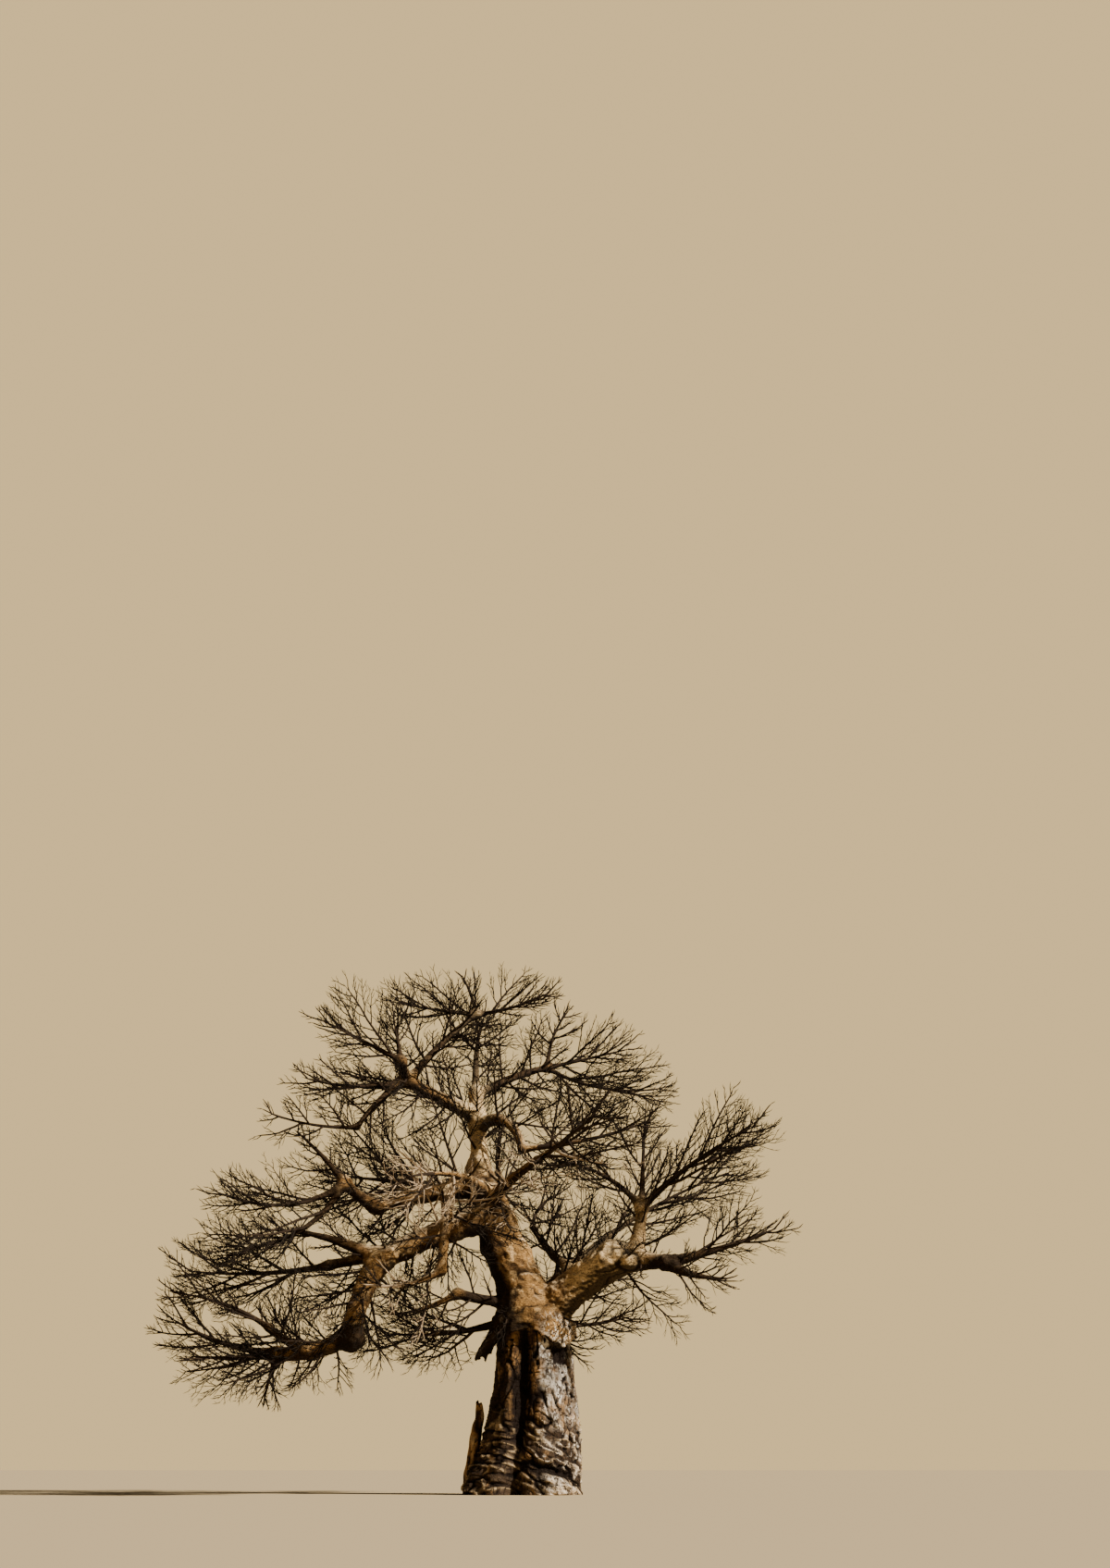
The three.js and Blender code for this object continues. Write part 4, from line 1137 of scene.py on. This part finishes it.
def plain_finish(name, shade):
    """Plain bark colour for twigs."""
    f = Finish(name, 0.9)
    f.shader.inputs["Base Color"].default_value = shade
    return f.material


# Regions of the crown: each is one piece of joined twigs, and stands for these masses
REGIONS = {
    "crest_spray": "summit summit_left summit_right crest_left crest_up brow_left left_drop",
    "right_crest_spray": "crest_right_up crest_right right_eave heart_right",
    "left_spray": "shoulder_up far_left left_lower inner_left",
    "low_left_spray": "mid_left low_left_high far_tip skirt hanging",
    "front_spray": "front_droop front spur front_right",
    "right_spray": "low_right_far low_right_under right_high right_up right_inner lip",
    "back_spray": "back_right back_stub back low_back",
    "back_top_spray": "back_left back_top",
    "bough_spray": "",
}
# Twig finishes: dark, brown, and a pale copy painted as sunlit
DARK, BROWN, PAINTED_SUNLIT = 0, 1, 2
# Share of a mass's twigs that are pale, below this height and to the right of this place
SUNLIT = {"front": 0.75, "front_droop": 0.45, "spur": 0.15, "front_right": 0.2}
SUNLIT_TOP = 9.4
SUNLIT_LEFT = -4.1
# Corners of the space before the trunk's fork, where the sun falls in, the share of twigs
# that are pale there, and the share of fine twigs that stay there
FORK_LOW = (-3.6, -20.0, 7.6)
FORK_HIGH = (0.6, -0.7, 10.4)
FORK_LIT = 0.6
FORK_OPEN = 0.55


def sprays_of_boughs(paths):
    """Side twigs along each bough, from its surface outwards: they go round it by the
    golden angle, at a chance angle and length, and bend along and upwards. The last ones
    hang beside the lip."""
    rule = BOUGH_SPRAYS
    walks, lengths, number = [], [], FIRST_SPRAY
    for order, (name, (_, _, _, _, length, radii)) in enumerate(BOUGHS.items()):
        path = paths[name]
        crowd = length * rule["a_metre"] * FULLER.get(name, 1)
        k = np.arange(int(crowd))
        luck = [chance(number + k, channel) for channel in range(91, 95)]
        number += len(k)
        t = rule["start"] + rule["run"] * (k + luck[0]) / crowd
        i = np.minimum((t * SMOOTH_STEPS).astype(int), SMOOTH_STEPS - 1)
        along = unit(path[i + 1] - path[i])
        roll = GOLDEN * k + rule["turn"] * luck[1] + rule["next"] * order
        out, heading = leaving(along, roll, rule["angle"] * mix(*rule["angles"], luck[2]))
        start = path[i] + out * (0.5 * mix(*radii, t))[:, None]
        lengths.append(mix(*rule["lengths"], t) * mix(*rule["reaches"], luck[3]))
        walks.append(bent_paths(start, heading, along, rule, lengths[-1]))
    for heading, climb, length in LIP_SPRAYS:
        walk = sweep(LIP_SPRAY_ROOT, (heading, heading), (climb, climb + 40), length, rule["steps"])
        walks.append(walk[None])
        lengths.append([length])
    lengths = np.concatenate(lengths)
    return {
        "path": np.concatenate(walks),
        "length": lengths,
        "id": (FIRST_SPRAY + np.arange(len(lengths))).astype(np.uint32),
        "mass": np.full(len(lengths), len(PLACES)),
    }


def clear_of_skin(twigs, limbs):
    """Side twigs of boughs whose outer half keeps clear of every limb, the trunk first."""
    points = twigs["path"][:, 2:].reshape(-1, 3)
    bad = within(points, limbs[:1], LIMB_SPACE) | within(points, limbs[1:], BOUGH_SPRAYS["space"])
    return pick(twigs, ~bad.reshape(len(twigs["id"]), -1).any(1))


def before_fork(twigs):
    """Whether each twig's middle lies before the trunk's fork, where the sun falls in."""
    middle = twigs["path"].mean(1)
    return np.all((middle > FORK_LOW) & (middle < FORK_HIGH), 1)


def by_mass(shares, others):
    """A share for each mass, from the few that are given, and a last one for bough twigs."""
    return np.array([shares.get(place, others) for place in PLACES] + [others])


def grown_twigs(paths):
    """All twigs, from the stems to the finest tips, as records by level."""
    stems = stems_of_masses(paths)
    limbs = [(paths["trunk"], TRUNK_SPACE)]
    limbs += [(paths[name], row[5][0]) for name, row in BOUGHS.items()]
    side = fitted(branch(stems, SIDE, 2), limbs, stems)
    side = joined([side, clear_of_skin(sprays_of_boughs(paths), limbs)])
    side = waved(side, WAVES[0], 71)
    fine = fitted(branch(side, FINE, 3), limbs)
    stay = by_mass(OPENER, 1.0)[fine["mass"]] * np.where(before_fork(fine), FORK_OPEN, 1.0)
    fine = pick(fine, chance(fine["id"], 86) < stay)
    fine = waved(evened(fine, CROWD["fine"]), WAVES[1], 72)
    spur = branch(fine, SPUR, 4)
    spur = waved(evened(pick(spur, spur["length"] > SHORTEST_SPUR), CROWD["spur"]), WAVES[2], 73)
    tip = branch(spur, TIP, 5)
    tip = evened(pick(tip, tip["length"] > SHORTEST_TIP), CROWD["tip"])
    for twigs, (root, growth, end) in zip((side, fine, spur, tip), GIRTHS):
        root = root + growth * twigs["length"]
        twigs["radii"] = np.stack([root, np.full(len(root), end)], -1)
    return stems, side, fine, spur, tip


def spray_piece(name, places, levels, finishes):
    """One piece of all the twigs of some masses: tubes of fewer sides at each finer level,
    pale where the sun falls on them."""
    wanted = [PLACES.index(place) for place in places] or [len(PLACES)]
    bodies, shades = [], []
    for level, sides in zip(levels, TUBE_SIDES):
        part = pick(level, np.isin(level["mass"], wanted))
        path, count = part["path"], len(part["id"])
        if not count:
            continue
        radii = mix(part["radii"][:, :1], part["radii"][:, 1:], np.linspace(0, 1, path.shape[1]))
        body, faces = tubes(path, radii, sides)
        share = np.maximum(by_mass(SUNLIT, 0.0)[part["mass"]], FORK_LIT * before_fork(part))
        x, _, z = path.mean(1).T
        pale = (x > SUNLIT_LEFT) & (z < SUNLIT_TOP) & (chance(part["id"], 81) < share)
        # painted sunlight: pale twigs take the sunlit copy
        shade = np.where(pale, PAINTED_SUNLIT, BROWN if sides > 3 else DARK)
        shades.append(np.repeat(shade, len(body) // count))
        bodies.append((body, faces))
    points, faces = merged(bodies)
    shade_of_point = np.concatenate(shades)
    shade_of_face = np.concatenate([shade_of_point[group[:, 0]] for group in faces])
    piece = new_piece(name, points, faces, finishes, finish_of_face=shade_of_face)
    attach(piece, "root")
    if places:
        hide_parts(*[f"{place}_twigs" for place in places])


# Heading and climb at which the sun stands
SUN = (-28, 34)


def floor_and_light():
    """Plain pale floor, a soft sun from the right and plain light from all round."""
    bpy.ops.mesh.primitive_plane_add(size=900)
    floor = bpy.context.object
    floor.name = "floor"
    floor.data.materials.append(plain_finish("floor_paint", colour(0.44, 0.34, 0.20)))
    light = bpy.data.lights.new("sun", "SUN")
    light.energy = 10.3
    light.angle = math.radians(2.5)
    light.color = (1.0, 0.93, 0.82)
    sun = bpy.data.objects.new("sun", light)
    toward = Vector(direction(*SUN))
    sun.rotation_euler = toward.to_track_quat("Z", "Y").to_euler()
    bpy.context.scene.collection.objects.link(sun)
    world = bpy.data.worlds.new("sky")
    world.use_nodes = True
    tree = world.node_tree
    fill = add_node(tree, "Background", {"Color": colour(0.75, 0.66, 0.52), "Strength": 0.17}, 0)
    seen = add_node(tree, "Background", {"Color": colour(0.83, 0.59, 0.27), "Strength": 1.15}, 0)
    rays = add_node(tree, "LightPath", {}, "Is Camera Ray")
    both = add_node(tree, "MixShader", {0: rays, 1: fill, 2: seen}, 0)
    tree.links.new(both, tree.nodes["World Output"].inputs["Surface"])
    bpy.context.scene.world = world


def camera():
    """The photograph's view: a 50 mm lens near the ground, tipped up."""
    data = bpy.data.cameras.new("camera")
    data.lens = 50
    data.sensor_width = 36
    data.clip_end = 2000
    view = bpy.data.objects.new("camera", data)
    view.location = (0.88, -68, 0.8)
    view.rotation_euler = (math.radians(90 + 17.4), 0, 0)
    bpy.context.scene.collection.objects.link(view)
    bpy.context.scene.camera = view


camera()
floor_and_light()
limb_paths = skeleton()
old_bark = bough_finish()
stripped = stripped_finish()

limbs = limb_bark(limb_paths, old_bark)
foot = foot_bark(stripped)
stub = stub_post(stripped)
for piece, nodes in ((limbs, list(BOUGHS)), (foot, ["trunk"]), (stub, ["trunk"])):
    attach(piece, "root")
    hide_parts(*nodes)

twig_finishes = [
    plain_finish("twig_dark", colour(0.014, 0.010, 0.007)),
    plain_finish("twig_brown", colour(0.025, 0.016, 0.010)),
    # painted sunlight: pale copy of the twig bark
    plain_finish("twig_painted_sunlit", colour(0.33, 0.24, 0.15)),
]
twig_levels = grown_twigs(limb_paths)
for name, places in REGIONS.items():
    spray_piece(name, places.split(), twig_levels, twig_finishes)
